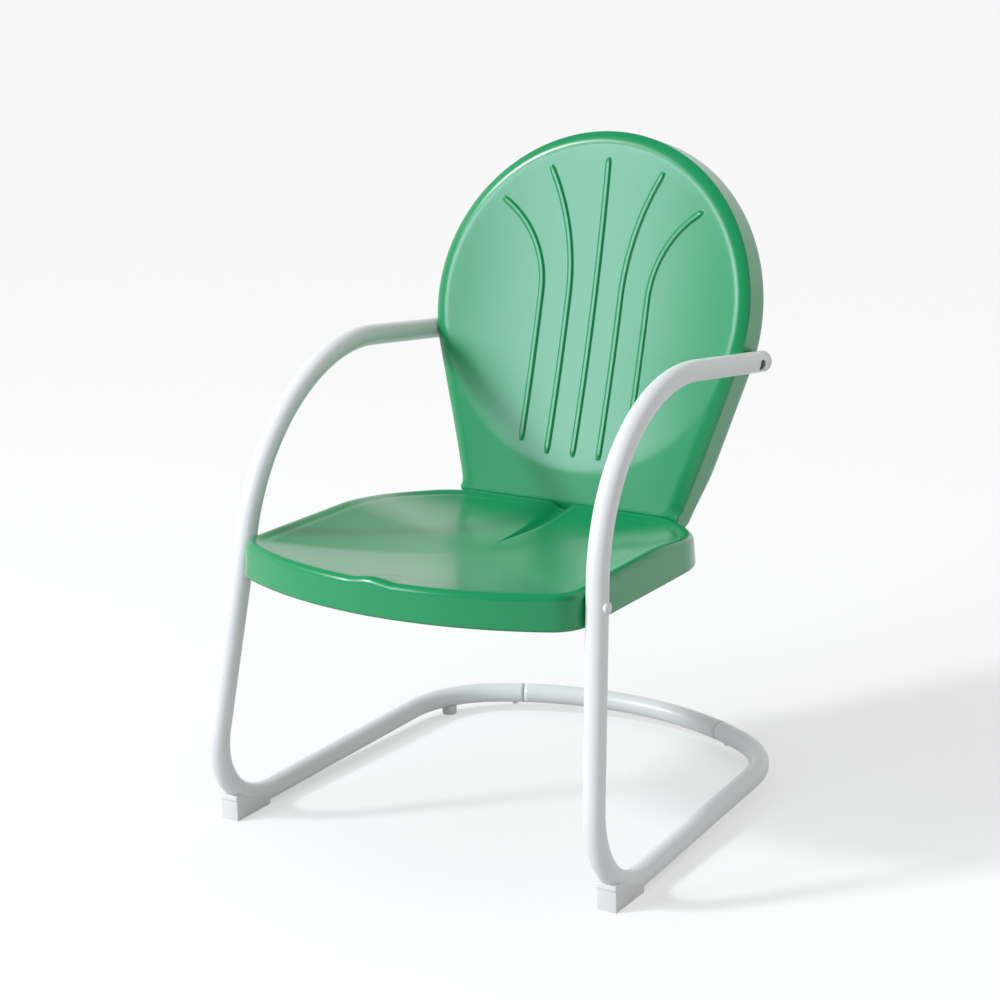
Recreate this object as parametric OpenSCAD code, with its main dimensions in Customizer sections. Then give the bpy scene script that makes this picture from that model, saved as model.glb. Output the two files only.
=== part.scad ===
// Metal patio chair: a stamped seat pan and a shell back on a cantilevered bent tube frame.
// Millimetres. X = 0 is the mirror plane, the chair faces -Y and its feet stand on Z = 0.
// Left and right are the sitter's, so the left side is at +X.

/* [Tube frame] */
// Outer diameter of the frame tube
tube_od = 28.6; // [22:0.2:34]
// Wall of the frame tube
tube_wall = 1.5; // [1:0.1:2.5]
// Height of the point where arm and leg lines meet
arm_corner_z = 645.6; // [620:1:680]
// Position front to back of the point where arm and leg lines meet
arm_corner_y = -201; // [-215:1:-185]
// Distance between the two side tubes at that point
arm_front_span = 486.6; // [480:1:500]
// Height of the rear end of the arm
arm_rear_z = 596.8; // [585:1:610]
// Position front to back of the rear end of the arm
arm_rear_y = 228; // [224:1:245]
// Centreline radius of the bend from arm to leg
arm_bend_r = 254; // [180:1:280]
// Position front to back of the point where leg and runner lines meet
knee_y = -312; // [-322:1:-302]
// Distance between the two runners at that point
runner_span = 587.6; // [570:1:610]
// Centreline radius of the bend from leg to runner
knee_bend_r = 107; // [80:1:120]
// Gap under the lowest point of the runner
runner_gap = 1; // [0.6:0.1:3]
// Rise of the runner towards the rear, in degrees
runner_rise = 1.4; // [0.8:0.1:2]
// Inward turn of the runner towards the rear, in degrees
runner_toe = 1.8; // [0:0.1:3]
// Centreline radius of the rear corner
corner_bend_r = 140; // [100:1:160]
// Centreline radius of the bowed rear tube
bow_r = 419; // [380:1:480]
// Position front to back of the middle of the rear tube
rear_y = 336.4; // [325:0.1:350]

/* [Rear joints] */
// Distance between the two joints of the rear tube
joint_span = 330; // [280:1:360]
// Length of the reduced end that slides into the side tube
spigot_len = 32; // [24:1:45]
// Radial clearance of the reduced end
spigot_clear = 0.2; // [0.1:0.05:0.4]
// Diameter of the joint screw
joint_screw_d = 5; // [4:0.5:6]
// Distance of the joint screw from the joint
joint_screw_at = 15; // [12:1:18]

/* [Seat] */
// Position front to back of the front edge
seat_front_y = -347; // [-360:1:-340]
// Position front to back of the rear edge
seat_rear_y = 141.5; // [135:0.5:146]
// Height of the top of the side edges
seat_side_z = 402; // [395:1:415]
// Drop of the rear edge below the side edges
seat_rear_drop = 15; // [8:1:18]
// Position front to back at which the side edges begin to drop
drop_start_y = -64; // [-100:1:-30]
// Distance over which the side edges drop
drop_len = 170; // [140:1:190]
// Radius of the bowed front edge
seat_bow_r = 471; // [430:1:600]
// Corner radius at the front
seat_front_r = 50; // [40:1:52]
// Corner radius at the rear
seat_rear_r = 115; // [80:1:125]
// Narrowing towards the rear for each millimetre of depth
seat_taper = 0.00008; // [0:0.00001:0.00012]
// Height of the lower front edge
skirt_front_z = 358; // [352:1:364]
// Height of the lower rear edge
skirt_rear_z = 350; // [344:1:354]
// Radius of the rolled top edge
seat_roll_r = 9; // [7:0.5:10]
// Width of the border between the seat's edge and its dish
crease_d = 26; // [18:1:32]
// Drop of the border at the edge of the dish
crease_drop = 3.5; // [2:0.5:5]
// Depth of the dish in the middle
seat_dish = 28; // [16:1:32]
// Depth of the groove at the rear edge
groove_depth = 10; // [4:0.5:12]
// Half width of the groove at the rear edge
groove_half_w = 28; // [20:1:36]
// Position front to back of the front end of the groove
groove_end_y = -45; // [-80:1:0]
// Height of the ridge at the front edge
ridge_h = 4; // [0:0.5:6]
// Half width of the ridge
ridge_half_w = 36; // [24:1:50]
// Distance over which the ridge fades out behind the front edge
ridge_len = 85; // [50:1:120]

/* [Back] */
// Recline of the back, in degrees
back_tilt = 14.5; // [11:0.5:18]
// Height of the kink where the back turns down behind the seat
back_kink_z = 388; // [384:1:392]
// Length of the back from the kink to its top
back_len = 517.5; // [500:0.5:535]
// Radius of the round head of the back
back_r = 245; // [238:1:248]
// Slope of the straight sides, in degrees
back_side_slope = 16.9; // [15:0.1:19]
// Length of the tab below the kink, along the back
back_tab_len = 39; // [32:1:44]
// Corner radius at the foot of the back
back_foot_r = 28; // [15:1:35]
// How far the sides of the back come forward round the sitter
back_wrap = 15.5; // [10:0.5:20]
// Height above the kink where the sides have come fully forward
back_wrap_len = 225; // [200:5:260]
// Depth of the back from the front of the neck to the rear edge of its flange
flange_depth = 52; // [44:1:56]
// Depth of the flange at the kink
flange_waist = 42; // [34:1:46]
// Height above the kink where the flange has its full depth
flange_taper = 70; // [50:5:100]
// Depth of the flange at the foot of the tab
tab_edge = 6; // [4:0.5:9]
// Radius of the rounded rim in section
rim_r = 30; // [26:1:34]
// Turn of the rounded rim towards the flange, in degrees
rim_turn = 42; // [36:1:46]
// Radius of the corner between the rim and the flange
rim_corner_r = 3; // [2.2:0.2:4]
// Depth of the round dish behind the neck
back_dish = 9; // [5:0.5:12]
// Distance of the dish's edge from the outline
dish_border = 12; // [10:1:16]
// Width of the soft edge of the dish
dish_soft = 9; // [5:1:14]
// Radius of the section of an embossed rib
rib_r = 5; // [4:0.5:6]
// Height of a rib above the dish
rib_h = 2.6; // [1.5:0.1:3]
// Spacing of the inner ribs from the middle rib
rib_step_in = 41; // [36:1:46]
// Spacing of the outer ribs from the middle rib
rib_step_out = 84; // [78:1:90]
// Height above the kink where the ribs begin to fan out
rib_fan_at = 288; // [270:1:300]
// Radius of the fan of the inner ribs
rib_in_r = 347; // [300:1:400]
// Radius of the fan of the outer ribs
rib_out_r = 145; // [130:1:170]
// Height above the kink of the top of the middle rib
rib_top = 483; // [460:1:484]
// Turn of the inner ribs, in degrees
rib_in_turn = 30.5; // [20:0.5:31]
// Turn of the outer ribs, in degrees
rib_out_turn = 60.5; // [40:0.5:62]
// Height above the kink of the foot of the inner ribs
rib_foot = 63; // [62:1:90]
// Height above the kink of the foot of the outer ribs
rib_foot_out = 77; // [76:1:110]

/* [Sheet and fixings] */
// Thickness of the steel sheet of seat and back
sheet_t = 1.6; // [1.2:0.1:2]
// Gap where round and flat faces touch
contact_gap = 0.1; // [0.05:0.05:0.2]
// Diameter of the bolts
bolt_d = 6; // [5:0.5:6]
// Radial clearance of a bolt in its hole
bolt_clear = 0.3; // [0.2:0.05:0.5]
// Height of the seat bolt above the floor
seat_bolt_z = 382; // [376:0.5:386]
// Diameter of the domed head of the seat bolt
dome_d = 16; // [12:0.5:18]
// Height of the domed head above the tube
dome_h = 4; // [3:0.5:6]
// Depth of the arm bolt behind the plane of the neck
arm_bolt_depth = 6; // [4:0.5:10]
// Diameter of the access hole in the arm
access_d = 15; // [13:0.5:17]
// Distance of the two lower back bolts from the middle
back_bolt_x = 90; // [60:1:110]
// Height of the two lower back bolts
back_bolt_z = 365; // [362:0.5:368]
// Outer diameter of a washer
washer_d = 12; // [11:0.5:13]
// Thickness of a washer
washer_t = 1.2; // [0.8:0.1:1.6]
// Width across the flats of a nut
nut_af = 10; // [9:0.5:11]
// Height of a nut
nut_h = 5; // [4:0.5:6]
// Height of the flat bolt heads
head_h = 4; // [3:0.5:5]

/* [Plastic parts] */
// Width of the front foot
foot_w = 27; // [22:0.5:28]
// Position front to back of the front face of the foot
foot_front_y = -270; // [-274:1:-267]
// Position front to back of the rear tip of the foot
foot_rear_y = -195; // [-202:1:-190]
// Height of the front face of the foot
foot_face_h = 36; // [30:1:40]
// Height of the raised lip at the top of the front face
foot_lip_h = 8; // [4:0.5:12]
// Depth of the raised lip
foot_lip_t = 1.2; // [0.5:0.1:2]
// Place of the foot's stud along the knee bend, as a share of the bend
foot_stud_at = 0.7; // [0.62:0.02:0.78]
// Diameter of the rear glide
glide_d = 22; // [18:0.5:25]
// Place of the glide along the rear corner, in degrees
glide_at = 32; // [20:1:45]
// Diameter of the studs that hold feet and glides
stud_d = 8; // [6:0.5:9]
// Length of the studs inside the tube
stud_len = 7; // [5:0.5:10]
// Radial clearance of studs and plugs
stud_clear = 0.15; // [0.1:0.05:0.3]
// Thickness of the arm end plug outside the tube
plug_cap_t = 3; // [2:0.5:4]
// Length of the arm end plug inside the tube
plug_len = 9; // [6:0.5:10]

/* [Hidden] */

GREEN = [0.11, 0.56, 0.33];
PALE = [0.88, 0.90, 0.91];
WHITE = [0.96, 0.96, 0.95];
STEEL = [0.72, 0.73, 0.74];

tube_r = tube_od / 2;
bore_r = tube_r - tube_wall;
bolt_r = bolt_d / 2;
hole_r = bolt_r + bolt_clear;
eps = 0.01;

function unit(v) = v / norm(v);
function mix(a, b, t) = a + (b - a) * t;
function clamp01(t) = max(0, min(1, t));
function smooth(t) = let (u = clamp01(t)) u * u * (3 - 2 * u);

// A bend of radius r at corner q between p and n: start, end, centre, directions and turn
function bend_at(p, q, n, r) =
    let (d1 = unit(q - p), d2 = unit(n - q), turn = acos(d1 * d2), t = r * tan(turn / 2),
         side = unit(d2 - (d2 * d1) * d1), start = q - t * d1)
    [start, q + t * d2, start + r * side, d1, side, turn];

// Plane of the runners and the rear tube, tilted by the rise of the runners
run_s = [0, cos(runner_rise), sin(runner_rise)];
run_up = [0, -sin(runner_rise), cos(runner_rise)];
run_x = [1, 0, 0];

// Leg direction and the height of the knee corner that leaves runner_gap under the tube
knee_x = runner_span / 2;
arm_corner = [arm_front_span / 2, arm_corner_y, arm_corner_z];
run_dir = -sin(runner_toe) * run_x + cos(runner_toe) * run_s;
knee_guess = [knee_x, knee_y, tube_r];
knee_turn = acos(unit(knee_guess - arm_corner) * run_dir);
knee_z = tube_r + runner_gap - knee_bend_r * tan(knee_turn / 2) * run_dir[2];
knee = [knee_x, knee_y, knee_z];
splay = atan((knee_x - arm_corner[0]) / (arm_corner_z - knee_z));

// Rear corner and bow in the plane of the runners, as [x, s]
bow_s = (rear_y - knee_y) / cos(runner_rise) - bow_r;
toe_t = [-sin(runner_toe), cos(runner_toe)];
toe_n = [-cos(runner_toe), -sin(runner_toe)];
corner_w = [knee_x, -bow_s] + corner_bend_r * toe_n;
corner_k = -corner_w * toe_t
    + sqrt(pow(corner_w * toe_t, 2) - corner_w * corner_w + pow(bow_r - corner_bend_r, 2));
corner_c = [0, bow_s] + corner_w + corner_k * toe_t;
corner_end = atan2(corner_c[1] - bow_s, corner_c[0]);
joint_angle = acos(joint_span / 2 / bow_r);
function on_plane(p) = [p[0], knee_y, knee_z] + p[1] * run_s;
run_end = on_plane([knee_x, 0] + corner_k * toe_t);

// Points and step of the round head of the back
head_n = 26;
head_step = (90 + back_side_slope) / head_n;

// Back plane: the neck lies in it, v runs up along it and depth runs behind it
bs = sin(back_tilt);
bc = cos(back_tilt);
seat_rear_z = seat_side_z - seat_rear_drop;
kink_y = seat_rear_y + (seat_rear_z - seat_roll_r - back_kink_z) * tan(splay)
    + contact_gap / cos(splay);
kink_v = bs * kink_y + bc * back_kink_z;
plane_d = bc * kink_y - bs * back_kink_z;
head_v = kink_v + back_len - back_r;
function back_v(p) = bs * p[1] + bc * p[2];
function back_point(u, v, depth) =
    [u, bs * v + bc * (plane_d + depth), bc * v - bs * (plane_d + depth)];

// Section of the rim: a wide arc that turns back, then a tight corner into the flange
rim_depth = rim_r * (1 - cos(rim_turn)) + rim_corner_r * cos(rim_turn);
rim_w = rim_r * sin(rim_turn) + rim_corner_r * (1 - sin(rim_turn));
// The sides of the back come forward of its plane
function wrap(p) = back_wrap * pow(p[0] / back_r, 2) * smooth((p[1] - kink_v) / back_wrap_len);

// The arm runs past the rim so that the tube touches the flange close to the arm bolt
arm_slope = (arm_rear_z - arm_corner_z) / (arm_rear_y - arm_corner_y);
arm_bolt_y = (arm_bolt_depth + plane_d + bs * (arm_corner_z - arm_slope * arm_corner_y))
    / (bc - bs * arm_slope);
arm_bolt_z = arm_corner_z + arm_slope * (arm_bolt_y - arm_corner_y);
arm_bolt_v = back_v([0, arm_bolt_y, arm_bolt_z]);
arm_w = arm_bolt_v - head_v;
arm_near = back_r + contact_gap + tube_r;
arm_near_x = sqrt(pow(arm_near, 2) - pow(arm_w, 2));
// The arm leans against the flange, so it touches in front of the bolt or behind it
arm_lean = (arm_near_x * (arm_near_x - arm_corner[0]) / (arm_bolt_y - arm_corner_y)
    + arm_w * (bs + bc * arm_slope)) / arm_near;
arm_off = arm_lean > 0
    ? arm_lean * (arm_bolt_depth + wrap([arm_near_x, arm_bolt_v]) - rim_depth) / (bc - bs * arm_slope)
    : arm_lean * (arm_bolt_y - arm_rear_y);
arm_reach = arm_near + arm_off;
arm_bolt_x = sqrt(pow(arm_reach, 2) - pow(arm_w, 2));
arm_rear_x = arm_corner[0] + (arm_bolt_x - arm_corner[0])
    * (arm_rear_y - arm_corner_y) / (arm_bolt_y - arm_corner_y);
arm_rear = [arm_rear_x, arm_rear_y, arm_rear_z];
arm_dir = unit(arm_rear - arm_corner);
arm_end = arm_rear - plug_cap_t * arm_dir;
arm_axis_bolt = [arm_bolt_x, arm_bolt_y, arm_bolt_z];
arm_normal = unit(back_point(arm_bolt_x, arm_bolt_v, arm_bolt_depth)
    - back_point(0, head_v, arm_bolt_depth));

arm_bend = bend_at(arm_end, arm_corner, knee, arm_bend_r);
knee_bend = bend_at(arm_corner, knee, run_end, knee_bend_r);

// The seat's sides touch the legs at the seat bolts
leg_dir = unit(arm_corner - knee);
leg_at_bolt = knee + leg_dir * (seat_bolt_z - knee_z) / leg_dir[2];
seat_w_near = leg_at_bolt[0] - tube_r - (seat_side_z - seat_roll_r - seat_bolt_z) * tan(splay);
wall_normal = unit([1, seat_w_near * seat_taper, tan(splay)]);
wall_contact = leg_at_bolt - (tube_r + contact_gap) * wall_normal;
rear_normal = [0, cos(splay), sin(splay)];
seat_w = (wall_contact[0] - (seat_side_z - seat_roll_r - wall_contact[2]) * tan(splay))
    / (1 - seat_taper * (wall_contact[1] - leg_at_bolt[1]));

// A child drawn along +Z is placed at o with its axis along z and its X side towards x
module placed(o, x, z) {
    y = cross(z, x);
    multmatrix([[x[0], y[0], z[0], o[0]], [x[1], y[1], z[1], o[1]],
                [x[2], y[2], z[2], o[2]], [0, 0, 0, 1]]) children();
}

function side_of(z) = unit(cross(abs(z[2]) < 0.9 ? [0, 0, 1] : [0, 1, 0], z));

module along(o, z) { placed(o, side_of(z), z) children(); }

module ring(ro, ri) {
    difference() {
        circle(r = ro, $fn = 64);
        if (ri > 0) circle(r = ri, $fn = 64);
    }
}

module straight(p, q, ro, ri) {
    along(p, unit(q - p)) linear_extrude(height = norm(q - p)) ring(ro, ri);
}

// An arc about c in the plane of x and y, starting at x and turning towards y
module arc_tube(c, x, y, r, a0, a1, ro, ri) {
    placed(c, cos(a0) * x + sin(a0) * y, cross(x, y))
        rotate_extrude(angle = a1 - a0, $fn = 180) translate([r, 0]) ring(ro, ri);
}

module corner_bend(b, r, ro, ri) { arc_tube(b[2], -b[4], b[3], r, 0, b[5], ro, ri); }

// The left side tube as one run: arm, leg, runner, rear corner and start of the bow.
// Neighbouring lengths meet with a hairline that a ring inside the wall bridges.
hair = 0.002;
module bridge(o, z, ro, ri) {
    in = ri > 0 ? ri + (ro - ri) * 0.28 : 0;
    straight(o - z, o + z, ro - (ro - ri) * (ri > 0 ? 0.28 : 0.03), in);
}
module side_run(ro, ri) {
    straight(arm_end, arm_bend[0] - hair * arm_bend[3], ro, ri);
    corner_bend(arm_bend, arm_bend_r, ro, ri);
    straight(arm_bend[1] - hair * leg_dir, knee_bend[0] + hair * leg_dir, ro, ri);
    corner_bend(knee_bend, knee_bend_r, ro, ri);
    straight(knee_bend[1] + hair * run_dir, run_end - hair * run_dir, ro, ri);
    arc_tube(on_plane(corner_c), run_x, run_s, corner_bend_r, runner_toe, corner_end, ro, ri);
    bow(corner_end + hair / bow_r * 180 / PI, joint_angle, ro, ri);
    bridge(arm_bend[0], arm_bend[3], ro, ri);
    bridge(arm_bend[1], leg_dir, ro, ri);
    bridge(knee_bend[0], leg_dir, ro, ri);
    bridge(knee_bend[1], run_dir, ro, ri);
    bridge(run_end, run_dir, ro, ri);
    bridge(bow_point(corner_end), -sin(corner_end) * run_x + cos(corner_end) * run_s, ro, ri);
}

module bow(a0, a1, ro, ri) {
    arc_tube(on_plane([0, bow_s]), run_x, run_s, bow_r, a0, a1, ro, ri);
}

function bow_point(a) = on_plane([bow_r * cos(a), bow_s + bow_r * sin(a)]);

// The stud of a foot points out of the knee bend, down and forward
foot_turn = knee_bend[5] * foot_stud_at;
foot_out = unit(-cos(foot_turn) * knee_bend[4] + sin(foot_turn) * knee_bend[3]);
foot_seat = knee_bend[2] + knee_bend_r * foot_out;
glide_seat = on_plane(corner_c + corner_bend_r * [cos(glide_at), sin(glide_at)]);
joint_screw_a = joint_angle - (joint_screw_at / bow_r) * 180 / PI;

module joint_screw_axis() {
    placed(bow_point(joint_screw_a), run_x, run_up) children();
}

module both_sides() {
    children();
    mirror([1, 0, 0]) children();
}

// Round fixings, drawn along +Z

module hex_nut() {
    difference() {
        cylinder(d = nut_af / cos(30), h = nut_h, $fn = 6);
        translate([0, 0, -1]) cylinder(r = bolt_r + 0.05, h = nut_h + 2, $fn = 48);
    }
}

module washer() {
    difference() {
        cylinder(d = washer_d, h = washer_t, $fn = 64);
        translate([0, 0, -1]) cylinder(r = bolt_r + bolt_clear / 2, h = washer_t + 2, $fn = 48);
    }
}

// Bolt with its head's underside at 0, head above it and shank below it
module flat_bolt(shank) {
    cylinder(r = bolt_r * 1.65, h = head_h - 1, $fn = 64);
    translate([0, 0, head_h - 1]) cylinder(r1 = bolt_r * 1.65, r2 = bolt_r * 1.3, h = 1, $fn = 64);
    translate([0, 0, -shank]) cylinder(r = bolt_r, h = shank, $fn = 48);
}

// Frames of the bolts: +Z points away from the seat or the back, 0 is on the tube's axis

module seat_bolt_axis() { along(leg_at_bolt, wall_normal) children(); }

module arm_bolt_axis() { along(arm_axis_bolt, arm_normal) children(); }

// The washer bears on the hollow side of the round flange
arm_bolt_grip = tube_r + arm_off + 2 * contact_gap + sheet_t + pow(washer_d, 2) / (8 * back_r)
    + back_r * (1 - cos(head_step / 2));
head_seat = sqrt(pow(bore_r, 2) - pow(bolt_r * 1.65, 2)) - contact_gap;
back_bolt_y = seat_rear_y + (seat_rear_z - seat_roll_r - back_bolt_z) * tan(splay);

// 0 is on the outer face of the seat's rear skirt
module back_bolt_axes() {
    for (x = [-back_bolt_x, back_bolt_x])
        placed([x, back_bolt_y, back_bolt_z], [1, 0, 0], rear_normal) children();
}

// Seat pan

side_n = 7;
corner_n = 8;
rear_n = 9;
front_n = 9;
roll_n = 5;
dish_c = [0, mix(seat_front_y, seat_rear_y, 0.52)];

front_c = [0, seat_front_y + seat_bow_r];
front_corner_x = seat_w - seat_front_r;
front_corner_y = front_c[1]
    - sqrt(pow(seat_bow_r - seat_front_r, 2) - pow(front_corner_x, 2));
rear_corner = [seat_w - seat_rear_r, seat_rear_y - seat_rear_r];
front_angle = atan2(front_corner_y - front_c[1], front_corner_x);

// The washer inside the seat clears the start of the front corner
corner_lap = max(0, front_corner_y - leg_at_bolt[1] + washer_d / 2);
seat_bolt_grip = tube_r + contact_gap + sheet_t + 0.1
    + (corner_lap > 0 ? 0.1 + pow(corner_lap, 2) / (2 * seat_front_r) : 0);

// Right half of the outline from the middle of the front to the middle of the rear, inset by d
function seat_half(d) = concat(
    [for (i = [0 : front_n - 1]) let (a = -90 + (front_angle + 90) * pow(i / front_n, 1.5))
        front_c + (seat_bow_r - d) * [cos(a), sin(a)]],
    [for (i = [0 : corner_n - 1]) let (a = front_angle * (1 - i / corner_n))
        [front_corner_x, front_corner_y] + (seat_front_r - d) * [cos(a), sin(a)]],
    [for (i = [0 : side_n - 1])
        [seat_w - d, mix(front_corner_y, rear_corner[1], i / side_n)]],
    [for (i = [0 : corner_n - 1]) let (a = 90 * i / corner_n)
        rear_corner + (seat_rear_r - d) * [cos(a), sin(a)]],
    [for (i = [0 : rear_n]) [rear_corner[0] * pow(1 - i / rear_n, 1.6), seat_rear_y - d]]);

// Closed outline, counter-clockwise seen from above
function seat_ring(d) = let (h = seat_half(d), n = len(h)) concat(h,
    [for (i = [n - 2 : -1 : 1]) [-h[i][0], h[i][1]]]);
function tapered(p) = [p[0] * (1 - seat_taper * (p[1] - leg_at_bolt[1])), p[1]];

function edge_z(p) = seat_side_z - seat_rear_drop * smooth((p[1] - drop_start_y) / drop_len);
function groove(p) = let (f = clamp01((p[1] - groove_end_y) / (seat_rear_y - groove_end_y)))
    f <= 0 ? 0 : groove_depth * f * smooth(1 - abs(p[0]) / (groove_half_w * f));
function ridge(p) = ridge_h * smooth(1 - abs(p[0]) / ridge_half_w)
    * smooth((seat_front_y + ridge_len - p[1]) / (ridge_len - seat_roll_r));
function rim_z(p) = edge_z(p) + ridge(p) - groove(p);
function dish_drop(s) = crease_drop + (seat_dish - crease_drop) * (1 - s * s);
function skirt_z(p) = mix(skirt_front_z, skirt_rear_z,
    clamp01((p[1] - seat_front_y) / (seat_rear_y - seat_front_y)));

// Rings of the pan from the lower edge over the roll to the dish, inside by t
function roll_ring(a, t) = let (r = seat_roll_r - t)
    [for (p = seat_ring(seat_roll_r - r * cos(a))) let (q = tapered(p))
        [q[0], q[1], rim_z(q) - seat_roll_r + r * sin(a)]];
// The skirt flares out below the roll, square to the outline
function skirt_ring(t) = let (o = seat_ring(t), n = seat_ring(t + 1))
    [for (i = [0 : len(o) - 1]) let (q = tapered(o[i]), m = o[i] - n[i],
        f = (rim_z(q) - seat_roll_r - skirt_z(q)) * tan(splay))
        [q[0] + m[0] * f, q[1] + m[1] * f, skirt_z(q)]];
function crease_ring(i, t) = let (d = mix(seat_roll_r, crease_d, i / 3))
    [for (p = seat_ring(d)) let (q = tapered(p)) [q[0], q[1], rim_z(q) - t - crease_drop * smooth(i / 3)]];
function dish_ring(s, t) =
    [for (p = seat_ring(crease_d)) let (q = mix(dish_c, tapered(p), s))
        [q[0], q[1], rim_z(q) - t - dish_drop(s)]];
dish_steps = [0.9, 0.8, 0.69, 0.57, 0.44, 0.3, 0.16];
function seat_rings(t) = concat([skirt_ring(t)],
    [for (i = [0 : roll_n - 1]) roll_ring(90 * i / (roll_n - 1), t)],
    [for (i = [1 : 3]) crease_ring(i, t)],
    [for (s = dish_steps) dish_ring(s, t)],
    [[for (p = seat_ring(crease_d)) [dish_c[0], dish_c[1], rim_z(dish_c) - t - dish_drop(0)]]]);

// A closed skin between an outer and an inner stack of rings, each ending in one middle point
module skin(outer, inner) {
    n = len(outer[0]);
    k = len(outer) - 1;
    function at(r, i) = r * n + i % n;
    top = k * n;
    low = top + 1;
    points = concat([for (r = [0 : k - 1]) each outer[r]], [outer[k][0]],
                    [for (r = [0 : k - 1]) each inner[r]], [inner[k][0]]);
    faces = concat(
        [for (r = [0 : k - 2], i = [0 : n - 1]) each
            [[at(r, i), at(r + 1, i + 1), at(r, i + 1)], [at(r, i), at(r + 1, i), at(r + 1, i + 1)]]],
        [for (i = [0 : n - 1]) [at(k - 1, i), top, at(k - 1, i + 1)]],
        [for (r = [0 : k - 2], i = [0 : n - 1]) each
            [[low + at(r, i), low + at(r, i + 1), low + at(r + 1, i + 1)],
             [low + at(r, i), low + at(r + 1, i + 1), low + at(r + 1, i)]]],
        [for (i = [0 : n - 1]) [low + at(k - 1, i), low + at(k - 1, i + 1), low + top]],
        [for (i = [0 : n - 1]) each
            [[at(0, i), at(0, i + 1), low + at(0, i + 1)], [at(0, i), low + at(0, i + 1), low + at(0, i)]]]);
    polyhedron(points = points, faces = faces);
}

module seat_pan() {
    color(GREEN) difference() {
        skin(seat_rings(0), seat_rings(sheet_t));
        both_sides() seat_bolt_axis()
            translate([0, 0, -3 * tube_r]) cylinder(r = hole_r, h = 3 * tube_r, $fn = 48);
        back_bolt_holes();
    }
}

// Back shell

edge_n = 7;
foot_n = 5;
base_n = 5;
foot_v = kink_v - back_tab_len;
slope_c = cos(back_side_slope);
slope_s = sin(back_side_slope);
foot_cv = foot_v + back_foot_r;
foot_cx = (back_r - back_foot_r - slope_s * (head_v - foot_cv)) / slope_c;

// Right half of the outline from the middle of the foot to the top, inset by d
function back_half(d) = concat(
    [for (i = [0 : base_n - 1]) [foot_cx * i / base_n, foot_v + d]],
    [for (i = [0 : foot_n - 1]) let (a = mix(-90, -back_side_slope, i / foot_n))
        [foot_cx, foot_cv] + (back_foot_r - d) * [cos(a), sin(a)]],
    [for (i = [0 : edge_n - 1]) let (a = -back_side_slope, r = back_r - d, f = back_foot_r - d)
        mix([foot_cx, foot_cv] + f * [cos(a), sin(a)], [0, head_v] + r * [cos(a), sin(a)],
            i / edge_n)],
    [for (i = [0 : head_n]) let (a = mix(-back_side_slope, 90, i / head_n))
        [0, head_v] + (back_r - d) * [cos(a), sin(a)]]);
function back_ring(d) = let (h = back_half(d), n = len(h)) concat(h,
    [for (i = [n - 2 : -1 : 1]) [-h[i][0], h[i][1]]]);

dish_r = back_r - dish_border;
head_c = [0, head_v];
// Below this height over the kink the rim runs out, so that the tab is flat where it seats
kink_blend = 10;
function flat_at(v) = smooth((kink_v + kink_blend - v) / kink_blend);
dish_e = 2 * dish_soft / dish_r;
function bowl(t) = back_dish * (1 + dish_e) * t * t / (t + dish_e);
function dish(p) = bowl(max(0, 1 - pow(norm(p - head_c) / dish_r, 2))) * (1 - flat_at(p[1]));
function kink_drop(v) = v < kink_v ? (kink_v - v) * tan(back_tilt + splay) : 0;
function lift(p, depth) = back_point(p[0], p[1], depth + dish(p) - wrap(p) + kink_drop(p[1]));

function rim_ring(a, t) = let (tight = a > rim_turn, r = (tight ? rim_corner_r : rim_r) - t,
        c = tight ? [rim_corner_r, rim_depth] : [rim_w, rim_r])
    [for (p = back_ring(c[0] - r * sin(a))) lift(p, mix(c[1] - r * cos(a), t, flat_at(p[1])))];
rim_angles = concat([for (i = [0 : 2]) mix(90, rim_turn, i / 3) + 0.01],
    [for (i = [0 : 3]) rim_turn * (1 - i / 3)]);
function flange_ring(t) = [for (p = back_ring(t))
    lift(p, p[1] < kink_v ? mix(tab_edge, flange_waist, smooth((p[1] - foot_v) / back_tab_len))
        : mix(flange_waist, flange_depth, smooth((p[1] - kink_v) / flange_taper)))];

// The dish is round about the centre of the head; the neck below it is flat down to the kink.
// Near the rim the rings of the dish keep a small distance from it and from each other.
ring_gap = 1.5;
dish_rings = [0.99, 0.965, 0.93, 0.89, 0.84];
function round_at(p, i) = let (s = norm(p - head_c),
        r = min(dish_r * dish_rings[i], s - ring_gap * (i + 1)))
    head_c + (p - head_c) * r / s;
function kink_ring(t) = [for (p = back_ring(rim_w)) let (a = round_at(p, 0))
    lift(p[1] < kink_v ? mix(p, a, (kink_v - p[1]) / (a[1] - p[1])) : mix(p, a, 0.5), t)];
function back_rings(t) = concat([flange_ring(t)],
    [for (a = rim_angles) rim_ring(a, t)],
    [kink_ring(t)],
    [for (i = [0 : 4]) [for (p = back_ring(rim_w)) lift(round_at(p, i), t)]],
    [for (f = [0.75 : -0.25 : 0.1]) [for (p = back_ring(rim_w)) lift(mix(head_c, round_at(p, 4), f), t)]],
    [[for (p = back_ring(rim_w)) lift(head_c, t)]]);

// Frame of the back: X across, Y up along the back, Z towards the sitter, 0 at the dish's bottom
module on_back() {
    multmatrix([[1, 0, 0, 0], [0, bs, -bc, 0], [0, bc, bs, 0], [0, 0, 0, 1]])
        translate([0, 0, -(plane_d + back_dish)]) children();
}

// A rib's path as [x, height above the kink, heading]: straight up, then an arc that turns out
function rib_path(x, foot, fan_r, turn) = concat(
    [for (i = [0 : 4]) [x, mix(foot, rib_fan_at, i / 4), 0]],
    [for (i = [1 : 8]) let (a = turn * i / 8)
        [x + fan_r * (1 - cos(a)), rib_fan_at + fan_r * sin(a), a]]);

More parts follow.
